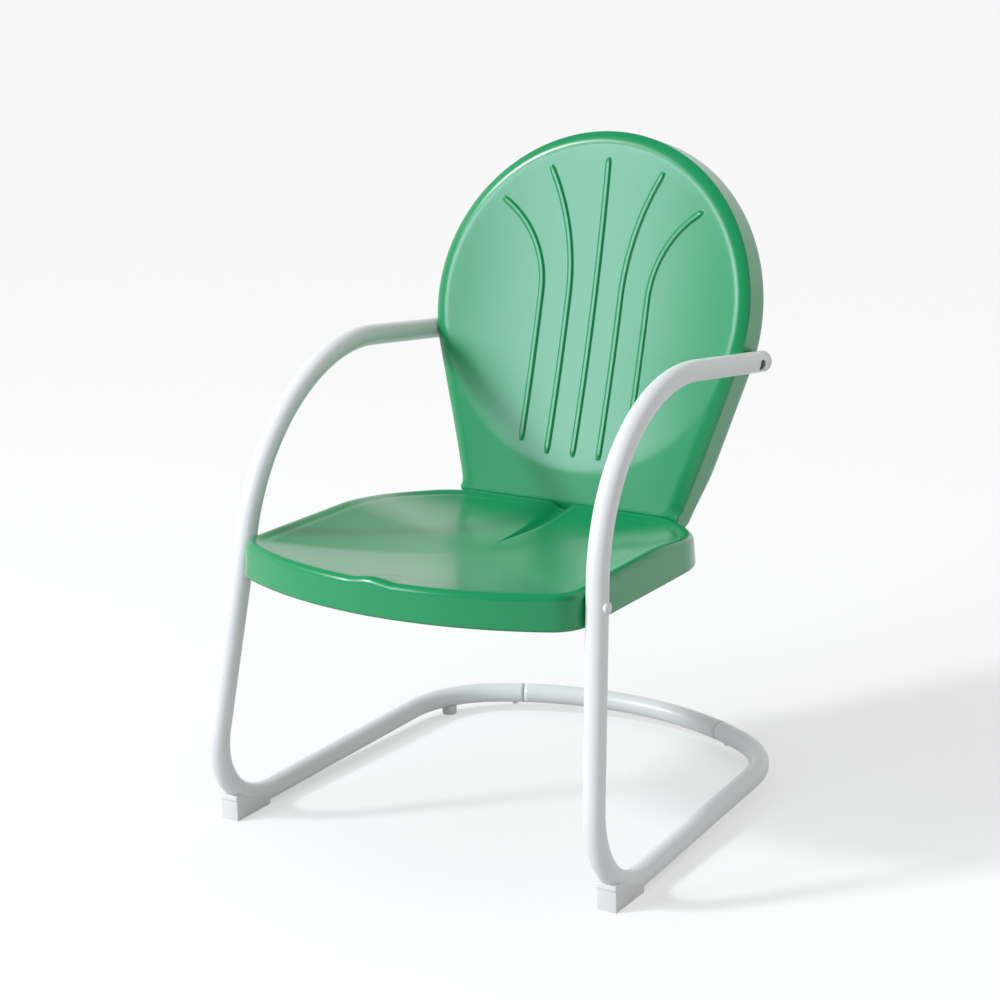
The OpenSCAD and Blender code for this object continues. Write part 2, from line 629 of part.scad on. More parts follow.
// A round bar of radius r along a path, with domed ends; only what lies over low is kept
function rib_ring(p, ahead, r, low, n) = let (a0 = asin(max(-1, low / r)))
    [for (k = [0 : n - 1]) let (a = mix(a0, 180 - a0, (k + 0.5) / n),
        x = p[0] + sin(p[2]) * ahead + cos(p[2]) * r * cos(a),
        v = kink_v + p[1] + cos(p[2]) * ahead - sin(p[2]) * r * cos(a))
        [x, v, rib_h - rib_r + r * sin(a) + wrap([x, v]) + back_dish - dish([x, v])]];
module rib(path, r, low, n, ends) {
    last = path[len(path) - 1];
    rings = concat([for (a = ends) rib_ring(path[0], -r * cos(a), r * sin(a), low, n)],
        [for (p = path) rib_ring(p, 0, r, low, n)],
        [for (i = [len(ends) - 1 : -1 : 0]) let (a = ends[i])
            rib_ring(last, r * cos(a), r * sin(a), low, n)]);
    k = len(rings);
    faces = concat([[for (i = [n - 1 : -1 : 0]) i]],
        [for (j = [0 : k - 2], i = [0 : n - 1]) let (m = (i + 1) % n)
            [j * n + i, j * n + m, (j + 1) * n + m, (j + 1) * n + i]],
        [[for (i = [0 : n - 1]) (k - 1) * n + i]]);
    polyhedron(points = [for (g = rings) each g], faces = faces);
}

module ribs(r, low, n, ends) {
    both_sides() {
        rib(rib_path(rib_step_in, rib_foot, rib_in_r, rib_in_turn), r, low, n, ends);
        rib(rib_path(rib_step_out, rib_foot_out, rib_out_r, rib_out_turn), r, low, n, ends);
    }
    rib([for (i = [0 : 8]) [0, mix(rib_foot, rib_top, i / 8), 0]], r, low, n, ends);
}

// The raised side of a rib starts inside the sheet; the hollow side is cut by a whole round bar
rib_low = rib_r - rib_h - 0.5 * sheet_t;
module raised_ribs() { on_back() ribs(rib_r, rib_low, 10, [30, 55]); }
module rib_hollows() { on_back() ribs(rib_r - sheet_t, -rib_r, 10, [20, 50]); }

// Length of a cutter through a sheet, and its part on the near side
drill_len = 30;
drill_back = 20;

module back_bolt_holes() {
    back_bolt_axes() translate([0, 0, -drill_back]) cylinder(r = hole_r, h = drill_len, $fn = 48);
}

// The sheet is pressed to its full size first and then drilled
module back_shell() {
    color(GREEN) difference() {
        resize([0, 0, 0]) difference() {
            union() {
                skin(back_rings(0), back_rings(sheet_t));
                raised_ribs();
            }
            rib_hollows();
        }
        both_sides() arm_bolt_axis()
            translate([0, 0, -3 * tube_r]) cylinder(r = hole_r, h = 3 * tube_r, $fn = 48);
        back_bolt_holes();
    }
}

// Tube frame

module side_tube() {
    color(PALE) difference() {
        side_run(tube_r, bore_r);
        seat_bolt_axis() translate([0, 0, -tube_od]) cylinder(r = hole_r, h = 2 * tube_od, $fn = 48);
        arm_bolt_axis() {
            translate([0, 0, -tube_od]) cylinder(r = hole_r, h = tube_od, $fn = 48);
            cylinder(d = access_d, h = tube_od, $fn = 64);
        }
        joint_screw_axis() translate([0, 0, -tube_od])
            cylinder(d = joint_screw_d + 2 * bolt_clear, h = tube_od, $fn = 48);
        along(foot_seat, foot_out) cylinder(r = stud_d / 2 + stud_clear, h = tube_od, $fn = 48);
        translate(glide_seat) mirror([0, 0, 1])
            cylinder(r = stud_d / 2 + stud_clear, h = tube_od, $fn = 48);
    }
}

module rear_cross_tube() {
    spigot_r = bore_r - spigot_clear;
    spigot_a = (spigot_len / bow_r) * 180 / PI;
    step_a = (tube_wall / bow_r) * 180 / PI;
    color(PALE) difference() {
        union() {
            bow(joint_angle, 180 - joint_angle, tube_r, bore_r);
            both_sides() {
                bow(joint_angle - spigot_a, joint_angle + 3 * step_a, spigot_r, spigot_r - tube_wall);
                bow(joint_angle + step_a, joint_angle + 4 * step_a, mix(bore_r, tube_r, 0.3),
                    spigot_r - tube_wall - 0.3);
            }
        }
        both_sides() joint_screw_axis() translate([0, 0, -tube_od])
            cylinder(d = joint_screw_d, h = tube_od, $fn = 48);
    }
}

module joint_screws() {
    color(STEEL) both_sides() joint_screw_axis() mirror([0, 0, 1]) translate([0, 0, tube_r]) {
        cylinder(d = joint_screw_d * 1.8, h = 2, $fn = 64);
        translate([0, 0, 2]) cylinder(d1 = joint_screw_d * 1.8, d2 = joint_screw_d * 1.3, h = 1, $fn = 64);
        translate([0, 0, -9]) cylinder(d = joint_screw_d - 0.1, h = 9, $fn = 48);
    }
}

module arm_plug() {
    color(WHITE) along(arm_end, arm_dir) {
        rotate_extrude($fn = 96) polygon(concat([[0, 0], [tube_r, 0], [tube_r, plug_cap_t - 2]],
            [for (a = [15 : 15 : 75]) [tube_r - 2 + 2 * cos(a), plug_cap_t - 2 + 2 * sin(a)]],
            [[tube_r - 2, plug_cap_t], [0, plug_cap_t + 0.8]]));
        translate([0, 0, -plug_len]) cylinder(r = bore_r - stud_clear, h = plug_len + eps, $fn = 64);
    }
}

// Fixings

module seat_bolts() {
    color(STEEL) both_sides() {
        difference() {
            seat_bolt_axis() intersection() {
                translate([0, 0, tube_r - 3]) cylinder(d = dome_d, h = dome_h + 3, $fn = 64);
                translate([0, 0, tube_r + dome_h - dome_r]) sphere(r = dome_r, $fn = 96);
            }
            straight(knee, arm_corner, tube_r + contact_gap, 0);
        }
        seat_bolt_axis() translate([0, 0, -seat_bolt_len]) cylinder(r = bolt_r,
            h = seat_bolt_len + tube_r + 1, $fn = 48);
    }
}

dome_r = (pow(dome_d / 2, 2) + pow(dome_h + 1, 2)) / (2 * (dome_h + 1)) + 1;
seat_bolt_len = seat_bolt_grip + washer_t + nut_h + 3;
arm_bolt_len = arm_bolt_grip + washer_t + nut_h + 3 - head_seat;
back_bolt_len = 2 * sheet_t + contact_gap + washer_t + nut_h + 3;

module seat_bolt_washers() {
    color(STEEL) both_sides() seat_bolt_axis() translate([0, 0, -seat_bolt_grip - washer_t]) washer();
}

module seat_bolt_nuts() {
    color(STEEL) both_sides() seat_bolt_axis()
        translate([0, 0, -seat_bolt_grip - washer_t - nut_h]) hex_nut();
}

module arm_bolts() {
    color(STEEL) both_sides() arm_bolt_axis() translate([0, 0, -head_seat]) flat_bolt(arm_bolt_len);
}

module arm_bolt_washers() {
    color(STEEL) both_sides() arm_bolt_axis() translate([0, 0, -arm_bolt_grip - washer_t]) washer();
}

module arm_bolt_nuts() {
    color(STEEL) both_sides() arm_bolt_axis()
        translate([0, 0, -arm_bolt_grip - washer_t - nut_h]) hex_nut();
}

module back_bolts() {
    color(STEEL) back_bolt_axes() translate([0, 0, contact_gap + sheet_t]) flat_bolt(back_bolt_len);
}

module back_bolt_washers() {
    color(STEEL) back_bolt_axes() translate([0, 0, -sheet_t - washer_t]) washer();
}

module back_bolt_nuts() {
    color(STEEL) back_bolt_axes() translate([0, 0, -sheet_t - washer_t - nut_h]) hex_nut();
}

// Plastic foot under the knee bend: a wedge with a saddle that fits the tube
saddle_step = 0.05;
module front_foot() {
    color(WHITE) {
        difference() {
            translate([foot_seat[0] - foot_w / 2, 0, 0]) rotate([90, 0, 90])
                linear_extrude(height = foot_w) polygon(foot_side());
            corner_bend(knee_bend, knee_bend_r, tube_r + contact_gap, 0);
            straight(knee_bend[1] - run_dir, run_end, tube_r + contact_gap + saddle_step, 0);
        }
        along(foot_seat, foot_out) translate([0, 0, bore_r - stud_len])
            cylinder(d = stud_d, h = stud_len + 4, $fn = 48);
    }
}

// Side view of the foot as [y, z]. Its upper edge follows the tube, below the tube's axis.
foot_line_r = knee_bend_r + 0.4 * tube_r;
knee_c = knee_bend[2];
knee_m = norm([knee_bend[3][1], knee_bend[4][1]]);
foot_top_turn = asin((knee_c[2] - foot_face_h) / foot_line_r / knee_m)
    + atan2(-knee_bend[4][2], -knee_bend[3][2]);
foot_end_turn = min(knee_bend[5], acos((knee_c[1] - foot_rear_y) / foot_line_r / knee_m)
    - atan2(knee_bend[3][1], knee_bend[4][1]));
function foot_line(a) = let (o = knee_c + foot_line_r
    * (-cos(a) * knee_bend[4] + sin(a) * knee_bend[3])) [o[1], o[2]];
function foot_side() = concat(
    [[foot_rear_y, 0], [foot_front_y + foot_lip_t, 0],
     [foot_front_y + foot_lip_t, foot_face_h - foot_lip_h],
     [foot_front_y, foot_face_h - foot_lip_h + foot_lip_t], [foot_front_y, foot_face_h]],
    [for (f = [0 : 0.125 : 1]) foot_line(mix(foot_top_turn, foot_end_turn, f))],
    foot_end_turn < knee_bend[5] ? [] : [[foot_rear_y, foot_line(knee_bend[5])[1]]]);

module rear_glide() {
    top = glide_seat[2] - tube_r * 0.6;
    color(WHITE) {
        difference() {
            translate([glide_seat[0], glide_seat[1], 0]) union() {
                translate([0, 0, 1]) cylinder(d = glide_d, h = top - 1, $fn = 64);
                cylinder(d1 = glide_d - 2, d2 = glide_d, h = 1, $fn = 64);
            }
            arc_tube(on_plane(corner_c), run_x, run_s, corner_bend_r, runner_toe, corner_end,
                tube_r + contact_gap, 0);
        }
        translate([glide_seat[0], glide_seat[1], 2])
            cylinder(d = stud_d, h = glide_seat[2] - bore_r + stud_len - 2, $fn = 48);
    }
}

seat_pan();
back_shell();
side_tube();  // left_side_tube
mirror([1, 0, 0]) side_tube();  // right_side_tube
rear_cross_tube();
joint_screws();
arm_plug();  // left_arm_plug
mirror([1, 0, 0]) arm_plug();  // right_arm_plug
arm_bolts();
arm_bolt_washers();
arm_bolt_nuts();
seat_bolts();
seat_bolt_washers();
seat_bolt_nuts();
back_bolts();
back_bolt_washers();
back_bolt_nuts();
front_foot();  // left_front_foot
mirror([1, 0, 0]) front_foot();  // right_front_foot
rear_glide();  // left_rear_glide
mirror([1, 0, 0]) rear_glide();  // right_rear_glide
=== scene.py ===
# %% [markdown]
# # A metal patio chair
# This lesson dresses a chair whose exact parts are already made. The real chair has a pressed
# steel seat and back under green powder paint, bolted to a bent steel tube under pale grey
# paint, with white plastic feet. We load the exact parts first and keep their place and size.

# %% Load the exact parts
import math
import bpy
import bmesh
import numpy as np
from mathutils import Matrix, Vector, geometry


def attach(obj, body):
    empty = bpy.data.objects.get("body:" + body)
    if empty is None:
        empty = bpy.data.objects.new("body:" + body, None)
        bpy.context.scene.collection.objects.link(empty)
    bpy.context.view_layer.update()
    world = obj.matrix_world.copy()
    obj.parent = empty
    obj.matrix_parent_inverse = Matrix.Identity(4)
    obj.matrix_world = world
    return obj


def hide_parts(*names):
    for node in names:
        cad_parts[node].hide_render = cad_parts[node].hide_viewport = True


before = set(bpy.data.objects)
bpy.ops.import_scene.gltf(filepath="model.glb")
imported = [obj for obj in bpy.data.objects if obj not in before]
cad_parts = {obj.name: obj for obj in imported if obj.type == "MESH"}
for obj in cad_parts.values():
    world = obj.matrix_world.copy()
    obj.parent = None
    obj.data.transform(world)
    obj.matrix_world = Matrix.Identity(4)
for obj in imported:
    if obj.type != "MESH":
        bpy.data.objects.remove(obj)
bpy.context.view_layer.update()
MM = 0.001

# %% [markdown]
# ## Sizes
# A chair is set out from a few lengths. They are written here in millimetres, with X across,
# the front at -Y and Z up, so that each new skin lands on the exact part it stands for.

# %% The chair's sizes
# The frame: tube, arm, knee, runner, rear bow and its joints
TUBE_R, TUBE_WALL = 14.3, 1.5
ARM_CORNER = Vector((243.3, -201.0, 645.6))
ARM_REAR_Y, ARM_REAR_Z, ARM_BEND = 228.0, 596.8, 254.0
KNEE_X, KNEE_Y, KNEE_BEND = 293.8, -312.0, 107.0
RUN_RISE, RUN_TOE, FLOOR_GAP = math.radians(1.4), math.radians(1.8), 1.0
CORNER_BEND, BOW_R, REAR_Y, JOINT_X = 140.0, 419.0, 336.4, 165.0
PLUG_T, SHEET, TOUCH = 3.0, 1.6, 0.1
JOINT_GAP, SPIGOT_IN, SPIGOT_OUT, SPIGOT_FIT, SPIGOT_WALL = 0.45, 32.0, 6.0, 0.2, 1.4

# The seat: outline, rolled edge, skirt, dish, and the forms along its rolled edge
SEAT_FRONT, SEAT_REAR, SEAT_TOP, REAR_DROP = -347.0, 141.5, 402.0, 15.0
SEAT_BOW, FRONT_R, SIDE_R, SEAT_ROLL = 471.0, 50.0, 115.0, 9.0
SKIRT_FRONT, SKIRT_REAR, CREASE, CREASE_DROP, DISH = 358.0, 350.0, 26.0, 3.5, 28.0
TAPER, SEAT_BOLT_Z, DISH_AT = 0.00008, 382.0, 0.52
DROP_START, DROP_LONG = -64.0, 170.0
RIDGE_HIGH, RIDGE_HALF, RIDGE_LONG = 4.0, 36.0, 85.0
GROOVE_DEEP, GROOVE_HALF, GROOVE_START = 8.0, 22.0, -45.0

# The back: lean, outline, flange, rim, dish, and the ribs pressed into it
TILT, KINK_Z, BACK_LEN, BACK_R = math.radians(14.5), 388.0, 517.5, 245.0
SLOPE, TAB, FOOT_R, WRAP, WRAP_LEN = math.radians(16.9), 39.0, 28.0, 15.5, 225.0
FLANGE, WAIST, TAB_EDGE, FLANGE_TAPER, KINK_BLEND = 52.0, 42.0, 6.0, 70.0, 10.0
RIM_R, RIM_TURN, RIM_CORNER = 30.0, math.radians(42.0), 3.0
BACK_DISH, BORDER, DISH_SOFT = 9.0, 12.0, 9.0
RIB_HIGH, RIB_HALF, RIB_SIDE, RIB_FADE, RIB_FAN = 2.6, 4.7, 2.6, 14.0, 288.0
ARM_BOLT_DEPTH, ACCESS_R, ACCESS_LONG = 6.0, 7.5, 30.0
ZERO, UP = np.zeros(3), np.array([0, 0, 1.0])


def unit(v):
    return v / np.linalg.norm(v)


def ease(t):
    """A smooth way from 0 to 1, level at both ends."""
    t = np.clip(t, 0.0, 1.0)
    return t * t * (3 - 2 * t)


# %% [markdown]
# ## Where the tube runs
# A bent tube is straight lengths joined by arcs. For each bend we need only the two lines that
# meet and the bend's radius: the arc starts the same distance before the corner as it ends
# after it. The leg leans outwards and forwards, so the bends lie in different planes.

# %% Corner bends along a line of points


def bend(before, corner, after, radius):
    into, out = unit(corner - before), unit(after - corner)
    turn = math.acos(np.clip(into @ out, -1, 1))
    reach = radius * math.tan(turn / 2)
    start = corner - reach * into
    side = unit(out - (out @ into) * into)
    return {"start": start, "end": corner + reach * out, "centre": start + radius * side,
            "into": into, "side": side, "turn": turn, "radius": radius}


def bend_points(b, steps):
    angles = np.linspace(0, b["turn"], steps)
    return [b["centre"] + b["radius"] * (-math.cos(a) * b["side"] + math.sin(a) * b["into"])
            for a in angles]


run_s = np.array([0, math.cos(RUN_RISE), math.sin(RUN_RISE)])
run_x = np.array([1.0, 0, 0])
run_dir = -math.sin(RUN_TOE) * run_x + math.cos(RUN_TOE) * run_s
arm_corner = np.array(ARM_CORNER)
knee_turn = math.acos(unit(np.array([KNEE_X, KNEE_Y, TUBE_R]) - arm_corner) @ run_dir)
knee = np.array([KNEE_X, KNEE_Y,
                 TUBE_R + FLOOR_GAP - KNEE_BEND * math.tan(knee_turn / 2) * run_dir[2]])
splay = math.atan((KNEE_X - arm_corner[0]) / (arm_corner[2] - knee[2]))
leg_dir = unit(arm_corner - knee)
leg_bolt = knee + leg_dir * (SEAT_BOLT_Z - knee[2]) / leg_dir[2]


def on_run(x, s):
    return np.array([x, knee[1], knee[2]]) + s * run_s


bow_s = (REAR_Y - knee[1]) / math.cos(RUN_RISE) - BOW_R
toe_t = np.array([-math.sin(RUN_TOE), math.cos(RUN_TOE)])
toe_n = np.array([-math.cos(RUN_TOE), -math.sin(RUN_TOE)])
corner_w = np.array([KNEE_X, -bow_s]) + CORNER_BEND * toe_n
corner_k = -corner_w @ toe_t + math.sqrt((corner_w @ toe_t) ** 2 - corner_w @ corner_w
                                         + (BOW_R - CORNER_BEND) ** 2)
corner_c = np.array([0, bow_s]) + corner_w + corner_k * toe_t
corner_end = math.atan2(corner_c[1] - bow_s, corner_c[0])
joint_angle = math.acos(JOINT_X / BOW_R)
run_end = on_run(KNEE_X + corner_k * toe_t[0], corner_k * toe_t[1])


def corner_point(a):
    return on_run(corner_c[0] + CORNER_BEND * math.cos(a), corner_c[1] + CORNER_BEND * math.sin(a))


def bow_point(a):
    return on_run(BOW_R * math.cos(a), bow_s + BOW_R * math.sin(a))


print("knee", knee.round(1), "splay", round(math.degrees(splay), 2))

# %% [markdown]
# The back leans, so it is easiest to set out in its own plane: u runs across, v runs up along
# the back and depth goes away from the sitter. One function turns such a point into the room's
# X, Y and Z. The arm's rear end is found from it too, because the arm touches the back's edge.

# %% The plane of the back
bs, bc = math.sin(TILT), math.cos(TILT)
kink_y = SEAT_REAR + (SEAT_TOP - REAR_DROP - SEAT_ROLL - KINK_Z) * math.tan(splay) \
    + TOUCH / math.cos(splay)
kink_v = bs * kink_y + bc * KINK_Z
plane_d = bc * kink_y - bs * KINK_Z
head_v = kink_v + BACK_LEN - BACK_R


def back_point(u, v, depth):
    return np.stack([u, bs * v + bc * (plane_d + depth), bc * v - bs * (plane_d + depth)], -1)


def wrap(u, v):
    """How far the sides of the back come forward round the sitter."""
    return WRAP * (u / BACK_R) ** 2 * ease((v - kink_v) / WRAP_LEN)


rim_depth = RIM_R * (1 - math.cos(RIM_TURN)) + RIM_CORNER * math.cos(RIM_TURN)
rim_w = RIM_R * math.sin(RIM_TURN) + RIM_CORNER * (1 - math.sin(RIM_TURN))
arm_slope = (ARM_REAR_Z - arm_corner[2]) / (ARM_REAR_Y - arm_corner[1])
arm_bolt_y = (ARM_BOLT_DEPTH + plane_d + bs * (arm_corner[2] - arm_slope * arm_corner[1])) \
    / (bc - bs * arm_slope)
arm_bolt_z = arm_corner[2] + arm_slope * (arm_bolt_y - arm_corner[1])
arm_bolt_v = bs * arm_bolt_y + bc * arm_bolt_z
arm_w, near = arm_bolt_v - head_v, BACK_R + TOUCH + TUBE_R
near_x = math.sqrt(near ** 2 - arm_w ** 2)
lean = (near_x * (near_x - arm_corner[0]) / (arm_bolt_y - arm_corner[1])
        + arm_w * (bs + bc * arm_slope)) / near
if lean > 0:
    off = lean * (ARM_BOLT_DEPTH + wrap(near_x, arm_bolt_v) - rim_depth) / (bc - bs * arm_slope)
else:
    off = lean * (arm_bolt_y - ARM_REAR_Y)
arm_bolt_x = math.sqrt((near + off) ** 2 - arm_w ** 2)
arm_bolt = np.array([arm_bolt_x, arm_bolt_y, arm_bolt_z])
arm_rear_x = arm_corner[0] + (arm_bolt_x - arm_corner[0]) \
    * (ARM_REAR_Y - arm_corner[1]) / (arm_bolt_y - arm_corner[1])
arm_rear = np.array([arm_rear_x, ARM_REAR_Y, ARM_REAR_Z])
arm_dir = unit(arm_rear - arm_corner)
arm_end = arm_rear - PLUG_T * arm_dir
arm_normal = unit(back_point(arm_bolt_x, arm_bolt_v, ARM_BOLT_DEPTH)
                  - back_point(0.0, head_v, ARM_BOLT_DEPTH))
arm_bend = bend(arm_end, arm_corner, knee, ARM_BEND)
knee_bend = bend(arm_corner, knee, run_end, KNEE_BEND)
print("arm end", arm_end.round(1), "bolt", arm_bolt.round(1))

# %% [markdown]
# ## Paint
# Powder paint flows out almost flat but keeps a faint pebbled skin, called orange peel, and its
# colour drifts very slightly over a panel. Both effects go on every painted part, so they are
# built once as a shader group with its own inputs and placed in each material.

# %% A shader group for the paint's skin
DRIFT_SCALE, DRIFT_DETAIL, PEEL_DETAIL, PEEL_HIGH = 9.0, 2.0, 1.5, 0.3


def group_with(name, kind, inputs, outputs):
    """A node group with named inputs (label, kind, default) and outputs (label, kind)."""
    g = bpy.data.node_groups.new(name, kind)
    for label, socket, value in inputs:
        new = g.interface.new_socket(label, in_out="INPUT", socket_type="NodeSocket" + socket)
        if value is not None:
            new.default_value = value
    for label, socket in outputs:
        g.interface.new_socket(label, in_out="OUTPUT", socket_type="NodeSocket" + socket)
    return g, g.nodes.new("NodeGroupInput"), g.nodes.new("NodeGroupOutput")


def feed(tree, socket, value):
    """Give a socket a value, or link it to the output that feeds it."""
    if isinstance(value, bpy.types.NodeSocket):
        tree.links.new(value, socket)
    else:
        socket.default_value = value


def fed(tree, node, **inputs):
    """The node with its inputs fed, named as on the node with _ for a blank."""
    for name, value in inputs.items():
        feed(tree, node.inputs[name.replace("_", " ")], value)
    return node


def new_node(tree, kind, **inputs):
    return fed(tree, tree.nodes.new(kind), **inputs)


def maths(tree, operation, *values):
    """The output of a maths node fed with the values."""
    node = tree.nodes.new("ShaderNodeMath")
    node.operation = operation
    for socket, value in zip(node.inputs, values):
        feed(tree, socket, value)
    return node.outputs[0]


def ranged(tree, value, smooth=False, **ends):
    """The output of a Map Range node; its ends are named as on the node, such as To_Max."""
    node = new_node(tree, "ShaderNodeMapRange", Value=value, **ends)
    if smooth:
        node.interpolation_type = "SMOOTHSTEP"
    return node.outputs["Result"]


def paint_skin_group():
    g, inp, out = group_with("paint skin", "ShaderNodeTree", (
        ("Colour", "Color", (0.5, 0.5, 0.5, 1)), ("Drift", "Float", 0.05),
        ("Peel Scale", "Float", 700.0), ("Roughness", "Float", 0.35),
        ("Rough Drift", "Float", 0.06)),
        (("Colour", "Color"), ("Roughness", "Float"), ("Height", "Float")))
    where = new_node(g, "ShaderNodeTexCoord").outputs["Object"]
    slow = new_node(g, "ShaderNodeTexNoise", Vector=where, Scale=DRIFT_SCALE,
                    Detail=DRIFT_DETAIL)
    peel = new_node(g, "ShaderNodeTexNoise", Vector=where, Scale=inp.outputs["Peel Scale"],
                    Detail=PEEL_DETAIL)
    centred = maths(g, "SUBTRACT", slow.outputs["Fac"], 0.5)
    shade = maths(g, "MULTIPLY", centred, inp.outputs["Drift"])
    tint = new_node(g, "ShaderNodeHueSaturation", Color=inp.outputs["Colour"],
                    Value=maths(g, "ADD", shade, 1.0))
    gloss = maths(g, "MULTIPLY_ADD", centred, inp.outputs["Rough Drift"], inp.outputs["Roughness"])
    fed(g, out, Colour=tint.outputs["Color"], Roughness=gloss, Height=peel.outputs["Fac"])
    return g


paint_skin = paint_skin_group()


def painted(name, colour, rough, drift, peel, bump, **shader):
    """A material on the paint's skin; shader holds uniform values of the surface by name."""
    m = bpy.data.materials.new(name)
    m.use_nodes = True
    tree = m.node_tree
    skin = new_node(tree, "ShaderNodeGroup")
    skin.node_tree = paint_skin
    fed(tree, skin, Colour=(*colour, 1), Roughness=rough, Drift=drift, Peel_Scale=peel)
    relief = new_node(tree, "ShaderNodeBump", Strength=bump, Distance=PEEL_HIGH * MM,
                      Height=skin.outputs["Height"])
    fed(tree, tree.nodes["Principled BSDF"], Base_Color=skin.outputs["Colour"],
        Roughness=skin.outputs["Roughness"], Normal=relief.outputs["Normal"], **shader)
    return m


green_paint = painted("green powder paint", (0.002, 0.278, 0.090),
                      rough=0.42, drift=0.08, peel=420, bump=0.08,
                      Coat_Weight=1.0, Coat_Roughness=0.26, Specular_IOR_Level=0.1)
pale_paint = painted("pale grey powder paint", (0.77, 0.785, 0.79),
                     rough=0.34, drift=0.04, peel=520, bump=0.10)
white_plastic = painted("white moulded plastic", (0.76, 0.76, 0.75),
                        rough=0.46, drift=0.04, peel=900, bump=0.06)
zinc = painted("zinc plate", (0.55, 0.56, 0.57),
               rough=0.36, drift=0.16, peel=300, bump=0.05, Metallic=1.0)

# %% [markdown]
# ## Meshes from rings
# Pressed sheet and turned parts are easy to build as rings of points that step from one edge of
# the part to the other, with faces between neighbouring rings.

# %% A skin between rings, and a finished object


def joined(rings):
    """The points and faces of rings of equal length, closed round."""
    n = len(rings[0])
    faces = [(r * n + i, r * n + (i + 1) % n, (r + 1) * n + (i + 1) % n, (r + 1) * n + i)
             for r in range(len(rings) - 1) for i in range(n)]
    return [tuple(p) for ring in rings for p in ring], faces


def fan(verts, faces, start, count, tip, flip=False):
    """Close one ring with triangles that meet in a new point."""
    verts.append(tuple(tip))
    for i in range(count):
        a, b = start + i, start + (i + 1) % count
        faces.append((b, a, len(verts) - 1) if flip else (a, b, len(verts) - 1))


def mesh_of(bm, name):
    me = bpy.data.meshes.new(name)
    bm.to_mesh(me)
    bm.free()
    return me


def smooth_all(me):
    me.polygons.foreach_set("use_smooth", [True] * len(me.polygons))


def new_mesh(name, verts, faces):
    """A smooth mesh from points in millimetres."""
    me = bpy.data.meshes.new(name)
    me.from_pydata([tuple(c * MM for c in v) for v in verts], [], faces)
    smooth_all(me)
    me.update()
    return me


def new_object(name, mesh, material):
    o = bpy.data.objects.new(name, mesh)
    bpy.context.collection.objects.link(o)
    if material and not mesh.materials:
        mesh.materials.append(material)
    return o


def made_real(o):
    """The modifiers' result as the object's own plain mesh."""
    bpy.context.view_layer.update()
    deps = bpy.context.evaluated_depsgraph_get()
    me = bpy.data.meshes.new_from_object(o.evaluated_get(deps), depsgraph=deps)
    o.modifiers.clear()
    old, o.data = o.data, me
    me.name = o.name
    if old.users == 0:
        bpy.data.meshes.remove(old)
    return o


def thickened(o, thickness):
    """A skin made solid inwards from its outer face."""
    m = o.modifiers.new("thickness", "SOLIDIFY")
    m.thickness, m.offset, m.use_even_offset = thickness * MM, -1.0, True
    return made_real(o)


def mirrored(o, name):
    """The same piece on the other side, with its faces turned outwards again."""
    me = o.data.copy()
    me.transform(Matrix.Scale(-1, 4, (1, 0, 0)))
    me.flip_normals()
    return new_object(name, me, None)


# %% [markdown]
# ## The tube frame
# A tube is a circle carried along a path. Geometry Nodes does exactly that with Curve to Mesh,
# so the tree takes the path, the tube's radius and the number of sides as named inputs. The
# wall then comes from a Solidify modifier, so that the ends show real thickness.

# %% Geometry Nodes: carry a circle along a path
TUBE_SIDES = 64


def made_real_with_finish(g, geometry, inp, out):
    """The end of every tree: instances become real geometry, and it gets its finish."""
    real = new_node(g, "GeometryNodeRealizeInstances", Geometry=geometry)
    finish = new_node(g, "GeometryNodeSetMaterial", Geometry=real.outputs["Geometry"],
                      Material=inp.outputs["Finish"])
    feed(g, out.inputs[0], finish.outputs["Geometry"])
    return g


def tube_tree():
    g, inp, out = group_with("tube along path", "GeometryNodeTree", (
        ("Path", "Geometry", None), ("Radius", "Float", TUBE_R * MM),
        ("Sides", "Int", TUBE_SIDES), ("Finish", "Material", None)), (("Tube", "Geometry"),))
    path = new_node(g, "GeometryNodeMeshToCurve", Mesh=inp.outputs["Path"])
    circle = new_node(g, "GeometryNodeCurvePrimitiveCircle", Radius=inp.outputs["Radius"],
                      Resolution=inp.outputs["Sides"])
    sweep = new_node(g, "GeometryNodeCurveToMesh", Curve=path.outputs["Curve"],
                     Profile_Curve=circle.outputs["Curve"])
    smooth = new_node(g, "GeometryNodeSetShadeSmooth", Geometry=sweep.outputs["Mesh"])
    return made_real_with_finish(g, smooth.outputs["Geometry"], inp, out)


def nodes_modifier(o, tree, **values):
    """Geometry Nodes on an object, with the tree's inputs set by their names."""
    m = o.modifiers.new(tree.name, "NODES")
    m.node_group = tree
    for item in tree.interface.items_tree:
        if item.item_type == "SOCKET" and item.in_out == "INPUT" and item.name in values:
            m[item.identifier] = values[item.name]


tube_along_path = tube_tree()


def tube(name, points, radius, material):
    me = bpy.data.meshes.new(name)
    edges = [(i, i + 1) for i in range(len(points) - 1)]
    me.from_pydata([tuple(p * MM) for p in points], edges, [])
    o = new_object(name, me, None)
    nodes_modifier(o, tube_along_path, Radius=radius * MM, Sides=TUBE_SIDES, Finish=material)
    return made_real(o)


# %% The path of one side tube
LINE_STEP, BEND_STEPS, CORNER_STEPS, BOW_STEPS = 12.0, 40, 28, 10


def line_points(a, b):
    steps = max(2, int(np.linalg.norm(b - a) / LINE_STEP))
    return [a + (b - a) * t for t in np.linspace(0, 1, steps)]


